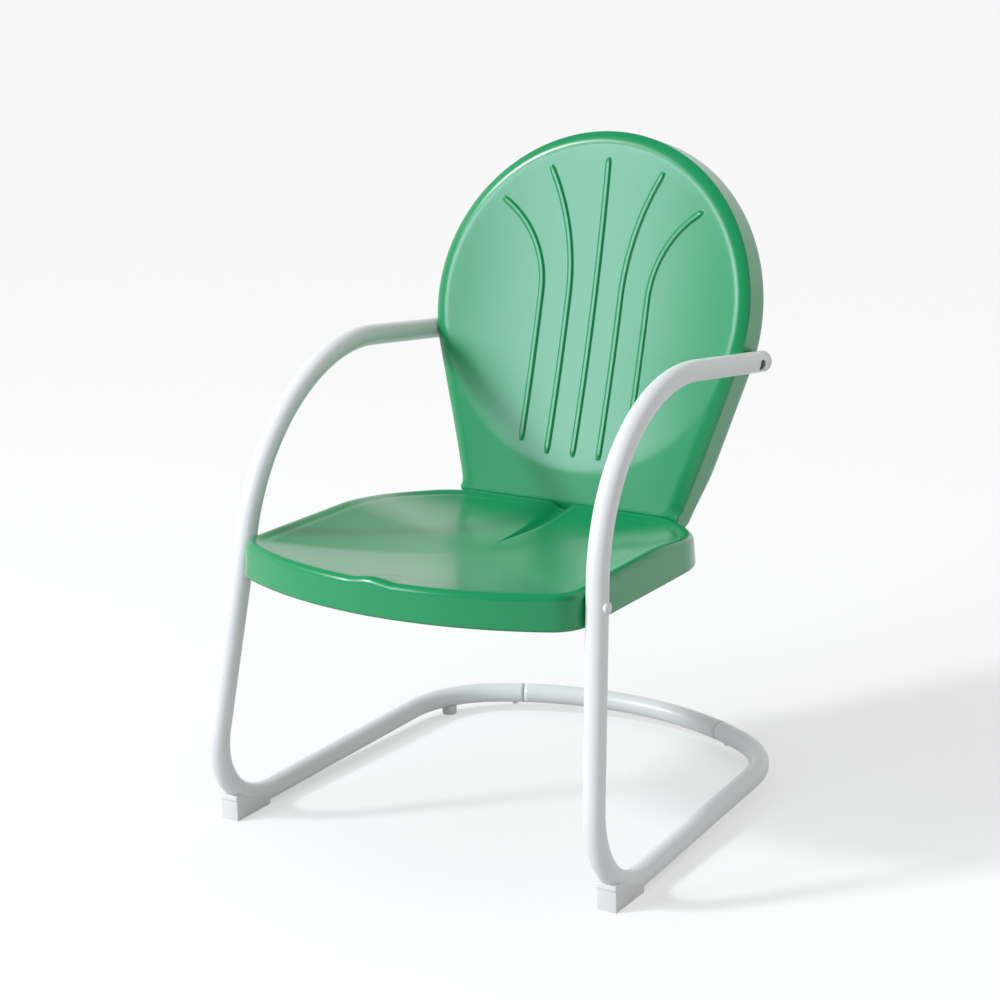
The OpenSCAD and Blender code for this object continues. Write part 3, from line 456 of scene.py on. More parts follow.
gap_angle = JOINT_GAP / BOW_R
side_path = line_points(arm_end, arm_bend["start"])[:-1] \
    + bend_points(arm_bend, BEND_STEPS)[:-1] \
    + line_points(arm_bend["end"], knee_bend["start"])[:-1] \
    + bend_points(knee_bend, BEND_STEPS)[:-1] \
    + line_points(knee_bend["end"], run_end)[:-1] \
    + [corner_point(a) for a in np.linspace(RUN_TOE, corner_end, CORNER_STEPS)[:-1]] \
    + [bow_point(a) for a in np.linspace(corner_end, joint_angle - gap_angle, BOW_STEPS)]
print("points along a side tube:", len(side_path))

# %% [markdown]
# The wall is turned inwards, and the arm end gets its round access hole with a cutter. The
# other side tube is the mirror image. The rear bar closes the loop: it is parted from the side
# tubes by a fine gap, and a thinner spigot inside each joint holds the two together.

# %% The side tubes and the rear bar


def cut(o, tool):
    m = o.modifiers.new("cut", "BOOLEAN")
    m.operation, m.object, m.solver = "DIFFERENCE", tool, "EXACT"
    made_real(o)
    bpy.data.objects.remove(tool, do_unlink=True)


def rod(name, start, end, radius):
    """A plain round bar between two points, used as a cutter."""
    axis = Vector(end - start)
    bm = bmesh.new()
    bmesh.ops.create_cone(bm, cap_ends=True, segments=48, radius1=radius * MM,
                          radius2=radius * MM, depth=axis.length * MM)
    turn = axis.to_track_quat("Z", "Y").to_matrix().to_4x4()
    bmesh.ops.transform(bm, matrix=Matrix.Translation(Vector(start + end) * 0.5 * MM) @ turn,
                        verts=bm.verts)
    return new_object(name, mesh_of(bm, name), None)


CROSS_STEPS, SPIGOT_STEPS = 60, 10
left_tube = thickened(tube("side_tube_left", side_path, TUBE_R, pale_paint), TUBE_WALL)
cut(left_tube, rod("access_cutter", arm_bolt, arm_bolt + arm_normal * ACCESS_LONG, ACCESS_R))
right_tube = mirrored(left_tube, "side_tube_right")
cross_path = [bow_point(a) for a in np.linspace(
    joint_angle + gap_angle, math.pi - joint_angle - gap_angle, CROSS_STEPS)]
cross_tube = thickened(tube("rear_cross_tube", cross_path, TUBE_R, pale_paint), TUBE_WALL)
spigots = []
for side, a, way in (("left", joint_angle, 1), ("right", math.pi - joint_angle, -1)):
    inner = [bow_point(b) for b in np.linspace(
        a - way * SPIGOT_IN / BOW_R, a + way * SPIGOT_OUT / BOW_R, SPIGOT_STEPS)]
    spigot = tube("spigot_" + side, inner, TUBE_R - TUBE_WALL - SPIGOT_FIT, pale_paint)
    spigots.append(thickened(spigot, SPIGOT_WALL))
print("tube faces:", len(left_tube.data.polygons), len(cross_tube.data.polygons))

# %% [markdown]
# ## The seat
# The seat is pressed from one sheet: a bowed front, round corners, a rolled edge, a skirt that
# flares a little and a shallow dish with a groove at the back. Its outline is five arcs and
# three straight lines, so a ring at any inset is known exactly, and the rings carry the height.

# %% The seat's outline
SEAT_STEPS = {"bow": 44, "front corner": 18, "side": 30, "rear corner": 26, "rear": 34}
BOW_CROWD, REAR_CROWD = 1.5, 1.6    # powers that crowd the points towards the middle
flare = math.tan(splay)
wall_n_w = leg_bolt[0] - TUBE_R - (SEAT_TOP - SEAT_ROLL - SEAT_BOLT_Z) * flare
wall_normal = unit(np.array([1, wall_n_w * TAPER, flare]))
wall_contact = leg_bolt - (TUBE_R + TOUCH) * wall_normal
seat_w = (wall_contact[0] - (SEAT_TOP - SEAT_ROLL - wall_contact[2]) * flare) \
    / (1 - TAPER * (wall_contact[1] - leg_bolt[1]))
front_cy = SEAT_FRONT + SEAT_BOW
front_x = seat_w - FRONT_R
front_y = front_cy - math.sqrt((SEAT_BOW - FRONT_R) ** 2 - front_x ** 2)
front_angle = math.atan2(front_y - front_cy, front_x)
rear_x, rear_y = seat_w - SIDE_R, SEAT_REAR - SIDE_R


def arc(cx, cy, r, angles):
    """Points of an arc, each with its outward direction."""
    return [(cx + r * math.cos(a), cy + r * math.sin(a), math.cos(a), math.sin(a))
            for a in angles]


def run_up_to(a, b, part):
    return np.linspace(a, b, SEAT_STEPS[part], endpoint=False)


def seat_outline(inset):
    """Points from the front's middle round the left side, closer together near the middle."""
    bow = -math.pi / 2 + (front_angle + math.pi / 2) * run_up_to(0, 1, "bow") ** BOW_CROWD
    half = arc(0, front_cy, SEAT_BOW - inset, bow)
    half += arc(front_x, front_y, FRONT_R - inset, run_up_to(front_angle, 0, "front corner"))
    half += [(seat_w - inset, y, 1, 0) for y in run_up_to(front_y, rear_y, "side")]
    half += arc(rear_x, rear_y, SIDE_R - inset, run_up_to(0, math.pi / 2, "rear corner"))
    rear = rear_x * np.linspace(1, 0, SEAT_STEPS["rear"]) ** REAR_CROWD
    half += [(x, SEAT_REAR - inset, 0, 1) for x in rear]
    other = [(-x, y, -nx, ny) for x, y, nx, ny in half[-2:0:-1]]
    return np.array(half + other)


def tapered(x, y):
    """The seat narrows a little to the rear."""
    return x * (1 - TAPER * (y - leg_bolt[1]))


def seat_edge(x, y):
    """Height of the rolled edge's top, with the front ridge and the rear groove in it."""
    z = SEAT_TOP - REAR_DROP * ease((y - DROP_START) / DROP_LONG)
    f = np.clip((y - GROOVE_START) / (SEAT_REAR - GROOVE_START), 0, 1)
    groove = GROOVE_DEEP * f * ease(1 - np.abs(x) / np.maximum(GROOVE_HALF * f, 1e-6))
    ridge = RIDGE_HIGH * ease(1 - np.abs(x) / RIDGE_HALF) \
        * ease((SEAT_FRONT + RIDGE_LONG - y) / (RIDGE_LONG - SEAT_ROLL))
    return z - groove + ridge


def skirt_foot(y):
    t = np.clip((y - SEAT_FRONT) / (SEAT_REAR - SEAT_FRONT), 0, 1)
    return SKIRT_FRONT + (SKIRT_REAR - SKIRT_FRONT) * t


def seat_ring(inset, fall):
    """The ring at an inset, lower by fall than the top of the rolled edge."""
    p = seat_outline(inset)
    x, y = tapered(p[:, 0], p[:, 1]), p[:, 1]
    return np.stack([x, y, seat_edge(x, y) - fall], -1)


# %% The seat's rings from the skirt's foot to the middle of the dish
SKIRT_RINGS, ROLL_RINGS, CREASE_RINGS, DISH_RINGS = 9, 12, 9, 40
seat_rings = []
rim = seat_outline(0)
for f in np.linspace(1, 0, SKIRT_RINGS, endpoint=False):
    x, y = tapered(rim[:, 0], rim[:, 1]), rim[:, 1]
    drop = seat_edge(x, y) - SEAT_ROLL - skirt_foot(y)
    out = drop * f * flare
    seat_rings.append(np.stack([x + rim[:, 2] * out, y + rim[:, 3] * out,
                                seat_edge(x, y) - SEAT_ROLL - drop * f], -1))
seat_rings += [seat_ring(SEAT_ROLL * (1 - math.cos(a)), SEAT_ROLL * (1 - math.sin(a)))
               for a in np.linspace(0, math.pi / 2, ROLL_RINGS, endpoint=False)]
seat_rings += [seat_ring(SEAT_ROLL + (CREASE - SEAT_ROLL) * t, CREASE_DROP * ease(t))
               for t in np.linspace(0, 1, CREASE_RINGS)]
inner = seat_outline(CREASE)
dish_y = SEAT_FRONT + (SEAT_REAR - SEAT_FRONT) * DISH_AT
for s in np.linspace(1, 0, DISH_RINGS)[1:-1]:
    x = tapered(inner[:, 0], inner[:, 1]) * s
    y = dish_y + (inner[:, 1] - dish_y) * s
    seat_rings.append(np.stack([x, y, seat_edge(x, y) - CREASE_DROP
                                - (DISH - CREASE_DROP) * (1 - s * s)], -1))
middle = (0, dish_y, float(seat_edge(np.array(0.0), dish_y)) - DISH)
verts, faces = joined(seat_rings)
fan(verts, faces, len(verts) - len(rim), len(rim), middle)
seat = new_object("seat_skin", new_mesh("seat_skin", verts, faces), green_paint)
thickened(seat, SHEET)
print("seat faces:", len(seat.data.polygons))

# %% [markdown]
# ## The back
# The back's rim and flange are rings again. The panel inside them carries five pressed ribs,
# which need small faces near each rib and large ones elsewhere. So points are laid along lines
# beside every rib, thinly in between, and joined by a Delaunay triangulation.

# %% The back's outline and depth
foot_v = kink_v - TAB
foot_cv = foot_v + FOOT_R
foot_cx = (BACK_R - FOOT_R - math.sin(SLOPE) * (head_v - foot_cv)) / math.cos(SLOPE)
dish_r = BACK_R - BORDER
FOOT_STEPS, FOOT_CORNER_STEPS, SIDE_STEPS, HEAD_STEPS = 22, 12, 34, 96


def back_outline(inset):
    """Points from the foot's middle up the left side to the top, and down the other side."""
    corner_r, head_r = FOOT_R - inset, BACK_R - inset
    half = [(x, foot_v + inset) for x in np.linspace(0, foot_cx, FOOT_STEPS, endpoint=False)]
    half += [(foot_cx + corner_r * math.cos(a), foot_cv + corner_r * math.sin(a))
             for a in np.linspace(-math.pi / 2, -SLOPE, FOOT_CORNER_STEPS, endpoint=False)]
    outward = np.array([math.cos(-SLOPE), math.sin(-SLOPE)])
    low = np.array([foot_cx, foot_cv]) + corner_r * outward
    high = np.array([0, head_v]) + head_r * outward
    half += [tuple(low + (high - low) * t) for t in np.linspace(0, 1, SIDE_STEPS, endpoint=False)]
    half += [(head_r * math.cos(a), head_v + head_r * math.sin(a))
             for a in np.linspace(-SLOPE, math.pi / 2, HEAD_STEPS)]
    return np.array(half + [(-x, y) for x, y in half[-2:0:-1]])


def inset_of(u, v):
    """How far inside the outline a point lies."""
    u = np.abs(u)
    side = BACK_R - (u * math.cos(SLOPE) - (v - head_v) * math.sin(SLOPE))
    head = BACK_R - np.hypot(u, v - head_v)
    angle = np.arctan2(v - head_v, u)
    d = np.where(angle > -SLOPE, head, side)
    q = np.hypot(u - foot_cx, v - foot_cv)
    in_corner = (u > foot_cx) & (v < foot_cv) & (np.arctan2(v - foot_cv, u - foot_cx) < -SLOPE)
    d = np.minimum(d, v - foot_v)
    return np.where(in_corner, FOOT_R - q, d)


def rim_fall(d):
    """How far the rounded rim falls back at a distance from the outline."""
    return RIM_R - np.sqrt(RIM_R ** 2 - np.clip(rim_w - d, 0, RIM_R) ** 2)


def bowl(u, v):
    """Depth of the dish: a shallow bowl with a soft edge, round about the centre of the head."""
    t = np.clip(1 - (np.hypot(u, v - head_v) / dish_r) ** 2, 0, 1)
    soft = 2 * DISH_SOFT / dish_r
    return BACK_DISH * (1 + soft) * t * t / (t + soft)


def back_lift(u, v, fall, flange=0.0):
    """A point of the back; fall is the rim's fall, flange the way along the flange from 0 to 1."""
    flat = ease((kink_v + KINK_BLEND - v) / KINK_BLEND)
    full = np.where(v < kink_v, TAB_EDGE + (WAIST - TAB_EDGE) * ease((v - foot_v) / TAB),
                    WAIST + (FLANGE - WAIST) * ease((v - kink_v) / FLANGE_TAPER))
    depth = fall * (1 - flat)
    depth = depth + (full - depth) * flange
    below = np.where(v < kink_v, (kink_v - v) * math.tan(TILT + splay), 0)
    return back_point(u, v, depth + bowl(u, v) * (1 - flat) - wrap(u, v) + below)


# %% The paths of the five ribs
# Each rib: way from the middle, foot and top above the bend at the seat, fan's radius and turn
RIBS = ((0, 63, 483, 0, 0), (41, 63, RIB_FAN, 347, math.radians(30.5)),
        (84, 77, RIB_FAN, 145, math.radians(60.5)))
RIB_STEP = 3.0


def rib_line(x, foot, top, fan_r, turn):
    """Points along a rib: straight up, then an arc that turns outwards if it has a fan."""
    pts = [(x, v, 0.0) for v in np.arange(kink_v + foot, kink_v + top, RIB_STEP)]
    if fan_r:
        for a in np.linspace(0, turn, int(fan_r * turn / RIB_STEP)):
            pts.append((x + fan_r * (1 - math.cos(a)), kink_v + top + fan_r * math.sin(a), a))
    return pts


rib_lines = [rib_line(*rib) for rib in RIBS]
rib_lines += [[(-x, v, -a) for x, v, a in line] for line in rib_lines[1:]]

# %% The panel's points and triangles
# Rows of points run beside each rib, round its ends, along the bend at the seat, round the
# dish's edge and inside the panel's edge; a loose grid fills the rest and keeps clear of them
PANEL_EDGE, EDGE_ROW, EDGE_FREE = 23.0, 3, 1.4
BESIDE = (0, 1.0, 2.0, 2.5, 3.0, 3.5, 4.0, 4.5, 5.2, 6.6, 8.6)
ROUND_ENDS, ROUND_STEPS = (1.2, 2.2, 3.0, 3.8, 4.8, 6.4, 8.4), 9
AT_BEND = (-3, 0, 2.5, 5, 7.5, 10)
BEND_HALF, BEND_STEP = 148, 4.0
DISH_IN, DISH_OUT, DISH_MID, DISH_STEP, DISH_SIDES = 21, 5, 9, 3.0, 300
GRID_HALF, GRID_STEP, JITTER, SEED = 236, 7.0, 0.8, 7
INSIDE_ONLY, MERGE_WITHIN = 1, 1e-4
CLEAR_RIB, CLEAR_EDGE, CLEAR_DISH, CLEAR_ABOVE, CLEAR_BELOW = 4.5, 6, 16, 15, 7
edge = back_outline(PANEL_EDGE)
cloud = []
for line in rib_lines:
    for off in sorted({-k for k in BESIDE} | set(BESIDE)):
        cloud += [(x + off * math.cos(a), v - off * math.sin(a)) for x, v, a in line]
    for end, way in ((line[0], -1), (line[-1], 1)):
        for k in ROUND_ENDS:
            for a in np.linspace(-math.pi / 2, math.pi / 2, ROUND_STEPS):
                ahead, aside = way * k * math.cos(a), k * math.sin(a)
                cloud.append((end[0] + math.sin(end[2]) * ahead + math.cos(end[2]) * aside,
                              end[1] + math.cos(end[2]) * ahead - math.sin(end[2]) * aside))
rib_cloud = np.array(cloud)
rng = np.random.default_rng(SEED)
for radius in np.arange(dish_r - DISH_IN, dish_r + DISH_OUT, DISH_STEP):
    for a in np.linspace(0, 2 * math.pi, DISH_SIDES, endpoint=False):
        cloud.append((radius * math.cos(a), head_v + radius * math.sin(a)))
cloud += [tuple(p) for p in back_outline(PANEL_EDGE + EDGE_ROW)]
across = np.arange(-BEND_HALF, BEND_HALF + 1, BEND_STEP)
cloud += [(x, kink_v + dv) for dv in AT_BEND for x in across]
grid = np.array([(x, v) for x in np.arange(-GRID_HALF, GRID_HALF + 1, GRID_STEP)
                 for v in np.arange(foot_v, head_v + GRID_HALF, GRID_STEP)])
grid = grid + rng.uniform(-JITTER, JITTER, (len(grid), 2))
near_rib = np.array([np.min(np.hypot(*(rib_cloud - p).T)) for p in grid])
near_dish = np.abs(np.hypot(grid[:, 0], grid[:, 1] - head_v) - (dish_r - DISH_MID))
keep = (near_rib > CLEAR_RIB) & (inset_of(grid[:, 0], grid[:, 1]) > PANEL_EDGE + CLEAR_EDGE) \
    & (near_dish > CLEAR_DISH) \
    & ((grid[:, 1] > kink_v + CLEAR_ABOVE) | (grid[:, 1] < kink_v - CLEAR_BELOW))
cloud = np.concatenate([np.array(cloud), grid[keep]])
cloud = cloud[inset_of(cloud[:, 0], cloud[:, 1]) > PANEL_EDGE + EDGE_FREE]
points = np.concatenate([edge, cloud])
loop = [(i, (i + 1) % len(edge)) for i in range(len(edge))]
verts2, _, tris, *_ = geometry.delaunay_2d_cdt(
    [Vector(p) for p in points], loop, [], INSIDE_ONLY, MERGE_WITHIN)
verts2 = np.array([tuple(p) for p in verts2])
print("panel points:", len(verts2), "triangles:", len(tris))

# %% [markdown]
# Geometry Nodes press the ribs into the panel. The tree measures how far each point lies from
# the ribs' centre lines and pushes it towards the sitter by a round-topped bead. Rib height and
# width are inputs, so the same tree could press any other line into any other sheet.

# %% Geometry Nodes: press beads along lines


def rib_tree():
    g, inp, out = group_with("press ribs", "GeometryNodeTree", (
        ("Sheet", "Geometry", None), ("Lines", "Object", None),
        ("Rib Height", "Float", RIB_HIGH * MM), ("Rib Half Width", "Float", RIB_HALF * MM),
        ("Side Width", "Float", RIB_SIDE * MM), ("Press Direction", "Vector", None),
        ("Finish", "Material", None)), (("Sheet", "Geometry"),))
    lines = new_node(g, "GeometryNodeObjectInfo", Object=inp.outputs["Lines"])
    near = new_node(g, "GeometryNodeProximity")
    near.target_element = "EDGES"
    feed(g, near.inputs[0], lines.outputs["Geometry"])
    crest = maths(g, "SUBTRACT", inp.outputs["Rib Half Width"], inp.outputs["Side Width"])
    bead = ranged(g, near.outputs["Distance"], smooth=True,
                  From_Min=inp.outputs["Rib Half Width"], From_Max=crest)
    push = new_node(g, "ShaderNodeVectorMath")
    push.operation = "SCALE"
    feed(g, push.inputs[0], inp.outputs["Press Direction"])
    fed(g, push, Scale=maths(g, "MULTIPLY", bead, inp.outputs["Rib Height"]))
    move = new_node(g, "GeometryNodeSetPosition", Geometry=inp.outputs["Sheet"],
                    Offset=push.outputs[0])
    return made_real_with_finish(g, move.outputs["Geometry"], inp, out)


# %% The back shell with its ribs
RIM_RINGS = (21, 19, 17, 15, 13, 11, 9, 7, 5, 3.4, 2.1)
CORNER_RINGS, FLANGE_RINGS = 7, 9
panel = back_lift(verts2[:, 0], verts2[:, 1], rim_fall(inset_of(verts2[:, 0], verts2[:, 1])))
n_edge = len(edge)
verts = [tuple(p) for p in panel]
faces = [tuple(t) if Vector(verts2[t[1]] - verts2[t[0]]).cross(
    Vector(verts2[t[2]] - verts2[t[0]])) > 0 else tuple(t)[::-1] for t in tris]
index = list(range(n_edge))
turn_d = RIM_CORNER * (1 - math.sin(RIM_TURN))
section = [(d, float(rim_fall(d)), 0.0) for d in (*RIM_RINGS, turn_d)]
section += [(RIM_CORNER * (1 - math.sin(a)), rim_depth - RIM_CORNER * math.cos(a), 0.0)
            for a in np.linspace(RIM_TURN, math.pi / 2, CORNER_RINGS)[1:]]
section += [(0.0, rim_depth, s) for s in np.linspace(0, 1, FLANGE_RINGS)[1:]]
for d, fall, flange in section:
    p = back_outline(d)
    fresh = list(range(len(verts), len(verts) + n_edge))
    verts += [tuple(q) for q in back_lift(p[:, 0], p[:, 1], fall, flange)]
    faces += [(index[i], fresh[i], fresh[(i + 1) % n_edge], index[(i + 1) % n_edge])
              for i in range(n_edge)]
    index = fresh
back = new_object("back_shell_skin", new_mesh("back_shell_skin", verts, faces), green_paint)
# The lines dip away behind the sheet at their ends, so that the beads fade out there
line_verts, line_edges = [], []
for line in rib_lines:
    start, p = len(line_verts), np.array(line)
    along = np.concatenate([[0], np.cumsum(np.hypot(*np.diff(p[:, :2], axis=0).T))])
    from_end = np.minimum(along, along[-1] - along)
    dip = RIB_HALF * np.clip(1 - from_end / RIB_FADE, 0, 1) ** 2
    u, v = p[:, 0], p[:, 1]
    spots = back_point(u, v, bowl(u, v) - wrap(u, v) + dip)
    line_verts += [tuple(q * MM) for q in spots]
    line_edges += [(start + i, start + i + 1) for i in range(len(line) - 1)]
me = bpy.data.meshes.new("rib_lines")
me.from_pydata(line_verts, line_edges, [])
rib_guides = new_object("rib_lines", me, None)
nodes_modifier(back, rib_tree(), **{
    "Lines": rib_guides, "Rib Height": RIB_HIGH * MM, "Rib Half Width": RIB_HALF * MM,
    "Side Width": RIB_SIDE * MM, "Press Direction": (0, -bc, bs), "Finish": green_paint})
made_real(back)
bpy.data.objects.remove(rib_guides, do_unlink=True)
thickened(back, SHEET)
print("back faces:", len(back.data.polygons))

# %% [markdown]
# ## Plastic feet, glides and arm plugs
# The front feet are moulded wedges with a saddle for the tube; the glides and plugs are turned
# shapes. Moulded edges are never knife sharp, so the wedges get a small bevel, and the turned
# shapes have their rounded edges in the outline.

# %% The front feet
FOOT_REAR, FOOT_FRONT, FOOT_HIGH, FOOT_HALF = -195.0, -270.0, 36.0, 13.5
LIP_HIGH, LIP_IN, SADDLE, STUD_AT, FOOT_BEVEL = 28.0, 1.2, 0.4, 0.7, 1.0
SADDLE_STEPS, BEVEL_STEPS, SHARP, FOOT_SHARP = 14, 3, 40, 35
foot_r = KNEE_BEND + SADDLE * TUBE_R
kc, kside, kinto = knee_bend["centre"], knee_bend["side"], knee_bend["into"]
km = math.hypot(kinto[1], kside[1])
top_turn = math.asin((kc[2] - FOOT_HIGH) / foot_r / km) + math.atan2(-kside[2], -kinto[2])
end_turn = math.acos((kc[1] - FOOT_REAR) / foot_r / km) - math.atan2(kinto[1], kside[1])
profile = [(FOOT_REAR, 0), (FOOT_FRONT + LIP_IN, 0), (FOOT_FRONT + LIP_IN, LIP_HIGH),
           (FOOT_FRONT, LIP_HIGH + LIP_IN), (FOOT_FRONT, FOOT_HIGH)]
for a in np.linspace(top_turn, end_turn, SADDLE_STEPS):
    p = kc + foot_r * (-math.cos(a) * kside + math.sin(a) * kinto)
    profile.append((p[1], p[2]))
stud_turn = knee_bend["turn"] * STUD_AT
stud_out = unit(-math.cos(stud_turn) * kside + math.sin(stud_turn) * kinto)
stud_seat = kc + KNEE_BEND * stud_out


def wedge(name, outline, x0, x1, bevel):
    """A side outline (Y, Z) given width from x0 to x1, with bevelled edges."""
    bm = bmesh.new()
    loop = [bm.verts.new((x0 * MM, y * MM, z * MM)) for y, z in outline]
    face = bm.faces.new(loop)
    moved = bmesh.ops.extrude_face_region(bm, geom=[face])
    bmesh.ops.translate(bm, verts=[g for g in moved["geom"] if isinstance(g, bmesh.types.BMVert)],
                        vec=((x1 - x0) * MM, 0, 0))
    bmesh.ops.recalc_face_normals(bm, faces=bm.faces)
    o = new_object(name, mesh_of(bm, name), white_plastic)
    m = o.modifiers.new("soft edges", "BEVEL")
    m.width, m.segments = bevel * MM, BEVEL_STEPS
    m.limit_method, m.angle_limit = "ANGLE", math.radians(SHARP)
    return made_real(o)


def shade_by_angle(o, degrees=SHARP):
    o.data.set_sharp_from_angle(angle=math.radians(degrees))
    return o


def cutting_tube(name, points):
    """A bar along the tube's path, a touch thicker than the tube and closed at its ends."""
    bar = tube(name, points, TUBE_R + TOUCH, None)
    bm = bmesh.new()
    bm.from_mesh(bar.data)
    bmesh.ops.holes_fill(bm, edges=[e for e in bm.edges if e.is_boundary])
    bmesh.ops.recalc_face_normals(bm, faces=bm.faces)
    bm.to_mesh(bar.data)
    bm.free()
    return bar


left_foot = wedge("front_foot_left", profile, stud_seat[0] - FOOT_HALF, stud_seat[0] + FOOT_HALF,
                  FOOT_BEVEL)
cut(left_foot, cutting_tube("knee_cutter", bend_points(knee_bend, BEND_STEPS)))
smooth_all(left_foot.data)
shade_by_angle(left_foot, FOOT_SHARP)
right_foot = mirrored(left_foot, "front_foot_right")
print("foot faces:", len(left_foot.data.polygons))

# %% The glides and the arm plugs


def turned(name, profile, origin, axis, material, sides=64):
    """A shape turned about an axis from (radius, height) points, closed at both ends."""
    z = unit(axis)
    x = unit(np.cross([0, 0, 1.0] if abs(z[2]) < 0.9 else [0, 1.0, 0], z))
    y = np.cross(z, x)
    rings = []
    for r, h in profile[1:-1]:
        angles = np.linspace(0, 2 * math.pi, sides, endpoint=False)
        rings.append([origin + r * (math.cos(a) * x + math.sin(a) * y) + h * z for a in angles])
    verts, faces = joined(rings)
    last = len(verts) - sides
    fan(verts, faces, 0, sides, origin + profile[0][1] * z, flip=True)
    fan(verts, faces, last, sides, origin + profile[-1][1] * z)
    o = new_object(name, new_mesh(name, verts, faces), material)
    return shade_by_angle(o)


GLIDE_AT, GLIDE_R, GLIDE_PIN_R, GLIDE_PIN, GLIDE_REACH = math.radians(32), 11.0, 4.0, 6.0, 0.8
GLIDE_SOFT, GLIDE_EDGE, GLIDE_STEPS = 1.4, 0.4, 30
glide = corner_point(GLIDE_AT)
glide_top, pin_top = glide[2] - TUBE_R * GLIDE_REACH, glide[2] - GLIDE_PIN
glide_shape = [(0, 0), (GLIDE_R - GLIDE_SOFT, 0), (GLIDE_R - GLIDE_EDGE, GLIDE_EDGE),
               (GLIDE_R, GLIDE_SOFT), (GLIDE_R, glide_top), (GLIDE_PIN_R, glide_top),
               (GLIDE_PIN_R, pin_top), (0, pin_top)]
left_glide = turned("rear_glide_left", glide_shape, np.array([glide[0], glide[1], 0]), UP,
                    white_plastic)
cut(left_glide, cutting_tube("glide_cutter", [
    corner_point(a) for a in np.linspace(RUN_TOE, corner_end, GLIDE_STEPS)]))
right_glide = mirrored(left_glide, "rear_glide_right")

PLUG_LONG, PLUG_FIT, PLUG_LEAD, PLUG_TIP, PLUG_SEAT = 9.0, 0.2, 0.8, 0.7, 0.02
PLUG_EDGE, PLUG_STEPS, PLUG_DOME, PLUG_DOME_AT = 2.0, 8, 0.8, (0.7, 0.5, 0.3, 0.15)
plug_r = TUBE_R - TUBE_WALL - PLUG_FIT
plug_shape = [(0, -PLUG_LONG), (plug_r - PLUG_TIP, -PLUG_LONG), (plug_r, PLUG_LEAD - PLUG_LONG),
              (plug_r, PLUG_SEAT), (TUBE_R, PLUG_SEAT)]
plug_shape += [(TUBE_R - PLUG_EDGE + PLUG_EDGE * math.cos(a),
                PLUG_T - PLUG_EDGE + PLUG_EDGE * math.sin(a))
               for a in np.linspace(0, math.pi / 2, PLUG_STEPS)]
plug_shape += [(TUBE_R * f, PLUG_T + PLUG_DOME * (1 - f * f)) for f in PLUG_DOME_AT]
plug_shape += [(0, PLUG_T + PLUG_DOME)]
left_plug = turned("arm_plug_left", plug_shape, arm_end, arm_dir, white_plastic)
right_plug = mirrored(left_plug, "arm_plug_right")

# %% [markdown]
# ## Fastenings
# The same dome-headed bolt holds each side of the seat, and the same screw closes each rear
# joint. Geometry Nodes put one drawn fastener on points: each point carries the direction that
# the fastener faces, and the tree turns an instance of it to that direction.

# %% Geometry Nodes: one fastener on every point


def fastener_tree():
    g, inp, out = group_with("fasteners on points", "GeometryNodeTree", (
        ("Points", "Geometry", None), ("Fastener", "Object", None), ("Finish", "Material", None)),
        (("Set", "Geometry"),))
    one = new_node(g, "GeometryNodeObjectInfo", Object=inp.outputs["Fastener"])
    facing = new_node(g, "GeometryNodeInputNamedAttribute", Name="facing")
    facing.data_type = "FLOAT_VECTOR"
    turn = new_node(g, "FunctionNodeAlignRotationToVector", Vector=facing.outputs[0])
    turn.axis = "Z"
    place = new_node(g, "GeometryNodeInstanceOnPoints", Points=inp.outputs["Points"],
                     Instance=one.outputs["Geometry"], Rotation=turn.outputs["Rotation"])
    return made_real_with_finish(g, place.outputs["Instances"], inp, out)


fasteners_on_points = fastener_tree()


def fasteners(name, one, places, material):
    """One object with the fastener on each place, given as a point and a direction."""
    me = bpy.data.meshes.new(name)
    me.from_pydata([tuple(p * MM) for p, _ in places], [], [])
    facing = me.attributes.new("facing", "FLOAT_VECTOR", "POINT")
    facing.data.foreach_set("vector", [c for _, d in places for c in d])
    o = new_object(name, me, None)
    nodes_modifier(o, fasteners_on_points, Fastener=one, Finish=material)
    made_real(o)
    if "facing" in o.data.attributes:
        o.data.attributes.remove(o.data.attributes["facing"])
    bpy.data.objects.remove(one, do_unlink=True)
    return shade_by_angle(o)


def both(p, d):
    """A place on the left and its mirror image on the right."""
    flip = np.array([-1, 1, 1])
    return [(p, d), (p * flip, d * flip)]


# %% The dome-headed seat bolts and the joint screws
SHANK_R, SHANK_END, TIP_IN, TIP_LONG = 3.0, -19.0, 0.4, 0.6
HEAD_R, HEAD_FOOT, HEAD_NECK, HEAD_SIDE, HEAD_DOME = 8.0, 9.2, 13.4, 14.6, 3.4
DOME_FROM, DOME_TO, DOME_STEPS = 0.15, 1.35, 9
dome = [(0, SHANK_END), (SHANK_R - TIP_IN, SHANK_END), (SHANK_R, SHANK_END + TIP_LONG),
        (SHANK_R, HEAD_FOOT), (HEAD_R - TIP_IN, HEAD_FOOT), (HEAD_R, HEAD_NECK),
        (HEAD_R, HEAD_SIDE)]
dome += [(HEAD_R * math.cos(a), HEAD_SIDE + HEAD_DOME * math.sin(a))
         for a in np.linspace(DOME_FROM, DOME_TO, DOME_STEPS)]
dome += [(0, HEAD_SIDE + HEAD_DOME)]
bolt_one = turned("dome_bolt", dome, ZERO, UP, None, sides=48)
seat_bolts = fasteners("seat_bolt_pair", bolt_one, both(leg_bolt, wall_normal), pale_paint)
SCREW_R, SCREW_LONG, SCREW_HEAD_R, SCREW_HIGH, SCREW_BACK = 2.4, 9.0, 4.5, 3.0, 15.0
SCREW_SIDE, SCREW_SHOULDER, SCREW_CROWN_R = 2.0, (4.1, 2.6), 3.2
DRIVE_R, DRIVE_FLOOR, DRIVE_TAPER, LIFT = 1.6, 1.6, 0.1, 0.05
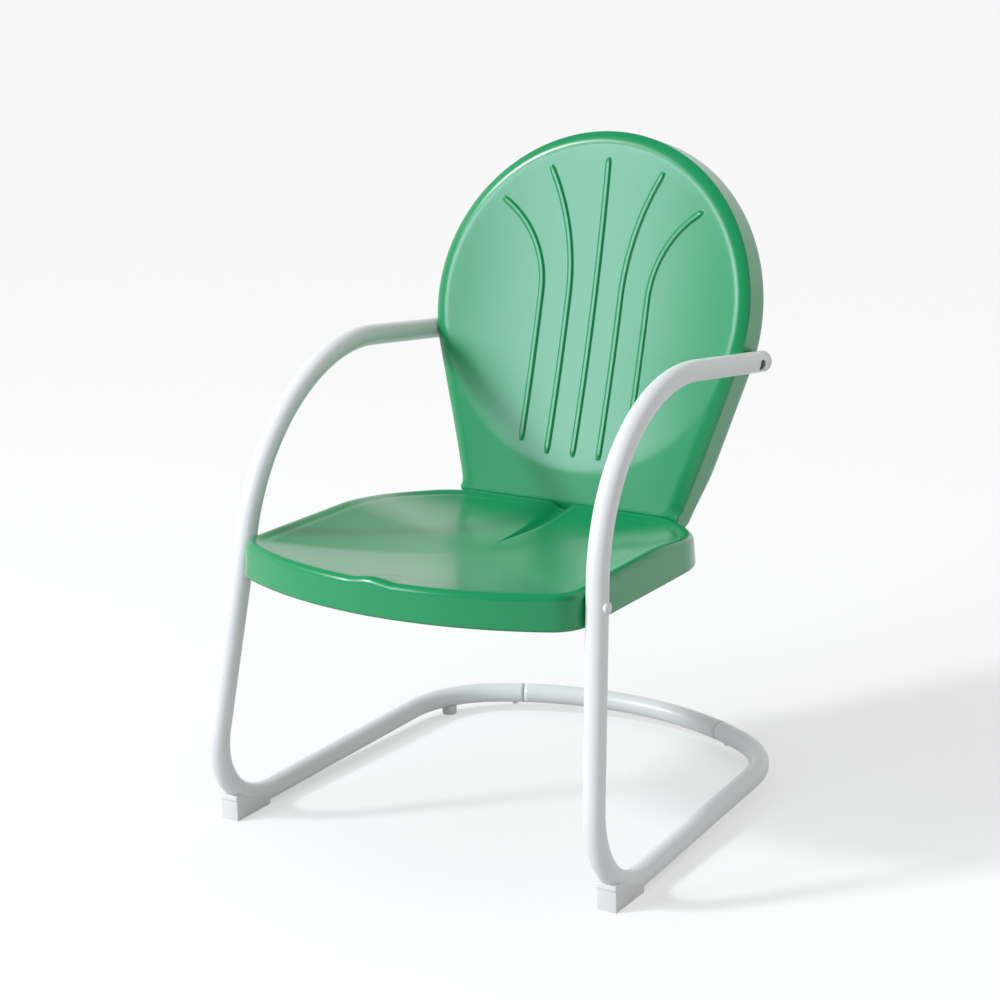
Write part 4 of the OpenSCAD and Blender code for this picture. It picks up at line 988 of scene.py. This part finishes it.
screw = [(0, -SCREW_LONG), (SCREW_R, -SCREW_LONG), (SCREW_R + LIFT, LIFT), (SCREW_HEAD_R, LIFT),
         (SCREW_HEAD_R, SCREW_SIDE), SCREW_SHOULDER, (SCREW_CROWN_R, SCREW_HIGH),
         (DRIVE_R, SCREW_HIGH), (DRIVE_R - DRIVE_TAPER, DRIVE_FLOOR), (0, DRIVE_FLOOR)]
screw_one = turned("joint_screw", screw, ZERO, UP, None, sides=40)
run_up = np.array([0, -math.sin(RUN_RISE), math.cos(RUN_RISE)])
screw_at = bow_point(joint_angle - SCREW_BACK / BOW_R) - run_up * TUBE_R
joint_screws = fasteners("joint_screw_pair", screw_one, both(screw_at, -run_up), zinc)
print("fasteners:", len(seat_bolts.data.polygons), len(joint_screws.data.polygons))

# %% [markdown]
# ## Join the pieces to the exact parts
# Every new piece rides on the chair's one body, and the exact parts it stands for are hidden.
# The exact parts that stay, mostly nuts and washers out of sight, get the zinc finish.

# %% What rides on what
dressed = [
    (seat, "green_paint", ["seat_pan"]), (back, "green_paint", ["back_shell"]),
    (left_tube, "pale_paint", ["left_side_tube"]), (right_tube, "pale_paint", ["right_side_tube"]),
    (cross_tube, "pale_paint", ["rear_cross_tube"]), (spigots[0], "pale_paint", []),
    (spigots[1], "pale_paint", []),
    (left_foot, "white_plastic", ["left_front_foot"]),
    (right_foot, "white_plastic", ["right_front_foot"]),
    (left_glide, "white_plastic", ["left_rear_glide"]),
    (right_glide, "white_plastic", ["right_rear_glide"]),
    (left_plug, "white_plastic", ["left_arm_plug"]),
    (right_plug, "white_plastic", ["right_arm_plug"]),
    (seat_bolts, "zinc", ["seat_bolts"]), (joint_screws, "zinc", ["joint_screws"])]
for piece, slot_name, nodes in dressed:
    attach(piece, "root")
    if nodes:
        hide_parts(*nodes)
shown = {n for _, _, nodes in dressed for n in nodes}
for name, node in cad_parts.items():
    if name not in shown:
        for place in node.material_slots:
            place.material = zinc
print("exact parts kept:", sorted(set(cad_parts) - shown))

# %% [markdown]
# ## Floor, light and camera
# The chair stands in a white studio: a floor that keeps its shadow, one soft lamp from the
# picture's left for shape and shadow, a low broad lamp in front that the sloping back mirrors,
# and an even room. Floor and room look white to the camera by colour, not by more light.

# %% A white that only the eye and mirrors see


def seen_by_eye(tree):
    """1 for camera, glossy and transmission rays, 0 for the rays that light the object."""
    rays = new_node(tree, "ShaderNodeLightPath")
    last = rays.outputs["Is Camera Ray"]
    for kind in ("Is Glossy Ray", "Is Transmission Ray"):
        last = maths(tree, "MAXIMUM", last, rays.outputs[kind])
    return last


def levels(tree, low, high):
    """The low level for the rays that light the object, the high one for the eye's rays."""
    return ranged(tree, seen_by_eye(tree), To_Min=low, To_Max=high)


# %% Floor
FLOOR_GREY, FLOOR_GLOW, FLOOR_R = 0.50, 0.475, 40


def white_floor():
    m = bpy.data.materials.new("studio floor")
    m.use_nodes = True
    fed(m.node_tree, m.node_tree.nodes["Principled BSDF"],
        Base_Color=(FLOOR_GREY, FLOOR_GREY, FLOOR_GREY, 1), Roughness=0.9,
        Specular_IOR_Level=0.0, Emission_Color=(1, 1, 1, 1),
        Emission_Strength=levels(m.node_tree, 0.0, FLOOR_GLOW))
    return m


bm = bmesh.new()
bmesh.ops.create_circle(bm, cap_ends=True, segments=96, radius=FLOOR_R)
floor = new_object("floor", mesh_of(bm, "floor"), white_floor())

# %% World
# The eye sees white all round. Mirrors see a white wall behind the chair, a dark room in front
# of it and a dim ceiling.
ROOM_LIGHT, ROOM_SEEN, WALL, DARK, CEILING = 0.63, 0.98, 1.0, 0.18, 0.15
BEHIND, FADE_FRONT, FADE_BEHIND, WALL_TOP, CEILING_EDGE = (-0.52, 0.85, 0), -0.30, 0.60, 0.34, 0.66
world = bpy.data.worlds.new("studio")
bpy.context.scene.world = world
world.use_nodes = True
room = world.node_tree
where = new_node(room, "ShaderNodeTexCoord").outputs["Generated"]
height = new_node(room, "ShaderNodeSeparateXYZ", Vector=where)
behind = new_node(room, "ShaderNodeVectorMath")
behind.operation = "DOT_PRODUCT"
feed(room, behind.inputs[0], where)
feed(room, behind.inputs[1], BEHIND)
sides = ranged(room, behind.outputs["Value"], smooth=True,
               From_Min=FADE_FRONT, From_Max=FADE_BEHIND, To_Min=DARK, To_Max=WALL)
walls = ranged(room, height.outputs["Z"], smooth=True,
               From_Min=WALL_TOP, From_Max=CEILING_EDGE, To_Min=sides, To_Max=CEILING)
rays = new_node(room, "ShaderNodeLightPath")
mirror = ranged(room, rays.outputs["Is Glossy Ray"],
                To_Min=levels(room, ROOM_LIGHT, ROOM_SEEN), To_Max=walls)
fed(room, room.nodes["Background"], Color=(1, 1, 1, 1), Strength=mirror)

# %% Lamps


def aimed(name, light, direction, distance, target):
    """A lamp that shines at the target from a direction and a distance in metres."""
    o = bpy.data.objects.new(name, light)
    bpy.context.collection.objects.link(o)
    o.location = Vector(target) + Vector(direction).normalized() * distance
    o.rotation_euler = (Vector(target) - o.location).to_track_quat("-Z", "Y").to_euler()


KEY_POWER, KEY_SPREAD, KEY_FROM = 1.65, math.radians(7), (-0.599, -0.574, 0.555)
KEY_AWAY, KEY_AT = 5.0, (0, 0, 0.45)
PANEL_WATTS, PANEL_WIDE, PANEL_HIGH = 40, 1.2, 0.8
PANEL_COLOUR, PANEL_FROM = (0.76, 0.85, 1.0), (-0.440, -0.827, 0.330)
PANEL_AWAY, PANEL_AT = 3.2, (0, 0.2, 0.62)
sun = bpy.data.lights.new("key from the left", "SUN")
sun.energy, sun.angle = KEY_POWER, KEY_SPREAD
aimed("key from the left", sun, KEY_FROM, KEY_AWAY, KEY_AT)
panel_light = bpy.data.lights.new("low front panel", "AREA")
panel_light.shape, panel_light.size, panel_light.size_y = "RECTANGLE", PANEL_WIDE, PANEL_HIGH
panel_light.energy, panel_light.color = PANEL_WATTS, PANEL_COLOUR
aimed("low front panel", panel_light, PANEL_FROM, PANEL_AWAY, PANEL_AT)

# %% Camera
# The camera was solved from the frame's mirror symmetry. Its focal length is in picture widths.
AZIMUTH, ELEVATION, ROLL = 0.5476909, 0.2621087, -0.0090022
CAMERA_AT, FOCAL, SENSOR = (1587.793, -2639.099, 1249.635), 2.3821707, 36.0
ahead = Vector((-math.sin(AZIMUTH) * math.cos(ELEVATION), math.cos(AZIMUTH) * math.cos(ELEVATION),
                -math.sin(ELEVATION)))
level = ahead.cross(Vector((0, 0, 1))).normalized()
upright = level.cross(ahead)
right = level * math.cos(ROLL) + upright * math.sin(ROLL)
up = upright * math.cos(ROLL) - level * math.sin(ROLL)
camera = bpy.data.cameras.new("camera")
camera.sensor_fit, camera.sensor_width, camera.lens = "HORIZONTAL", SENSOR, FOCAL * SENSOR
view = bpy.data.objects.new("camera", camera)
bpy.context.collection.objects.link(view)
turn = Matrix((right, up, -ahead)).transposed().to_4x4()
view.matrix_world = Matrix.Translation(Vector(CAMERA_AT) * MM) @ turn
bpy.context.scene.camera = view
bpy.context.scene.view_settings.view_transform = "Standard"
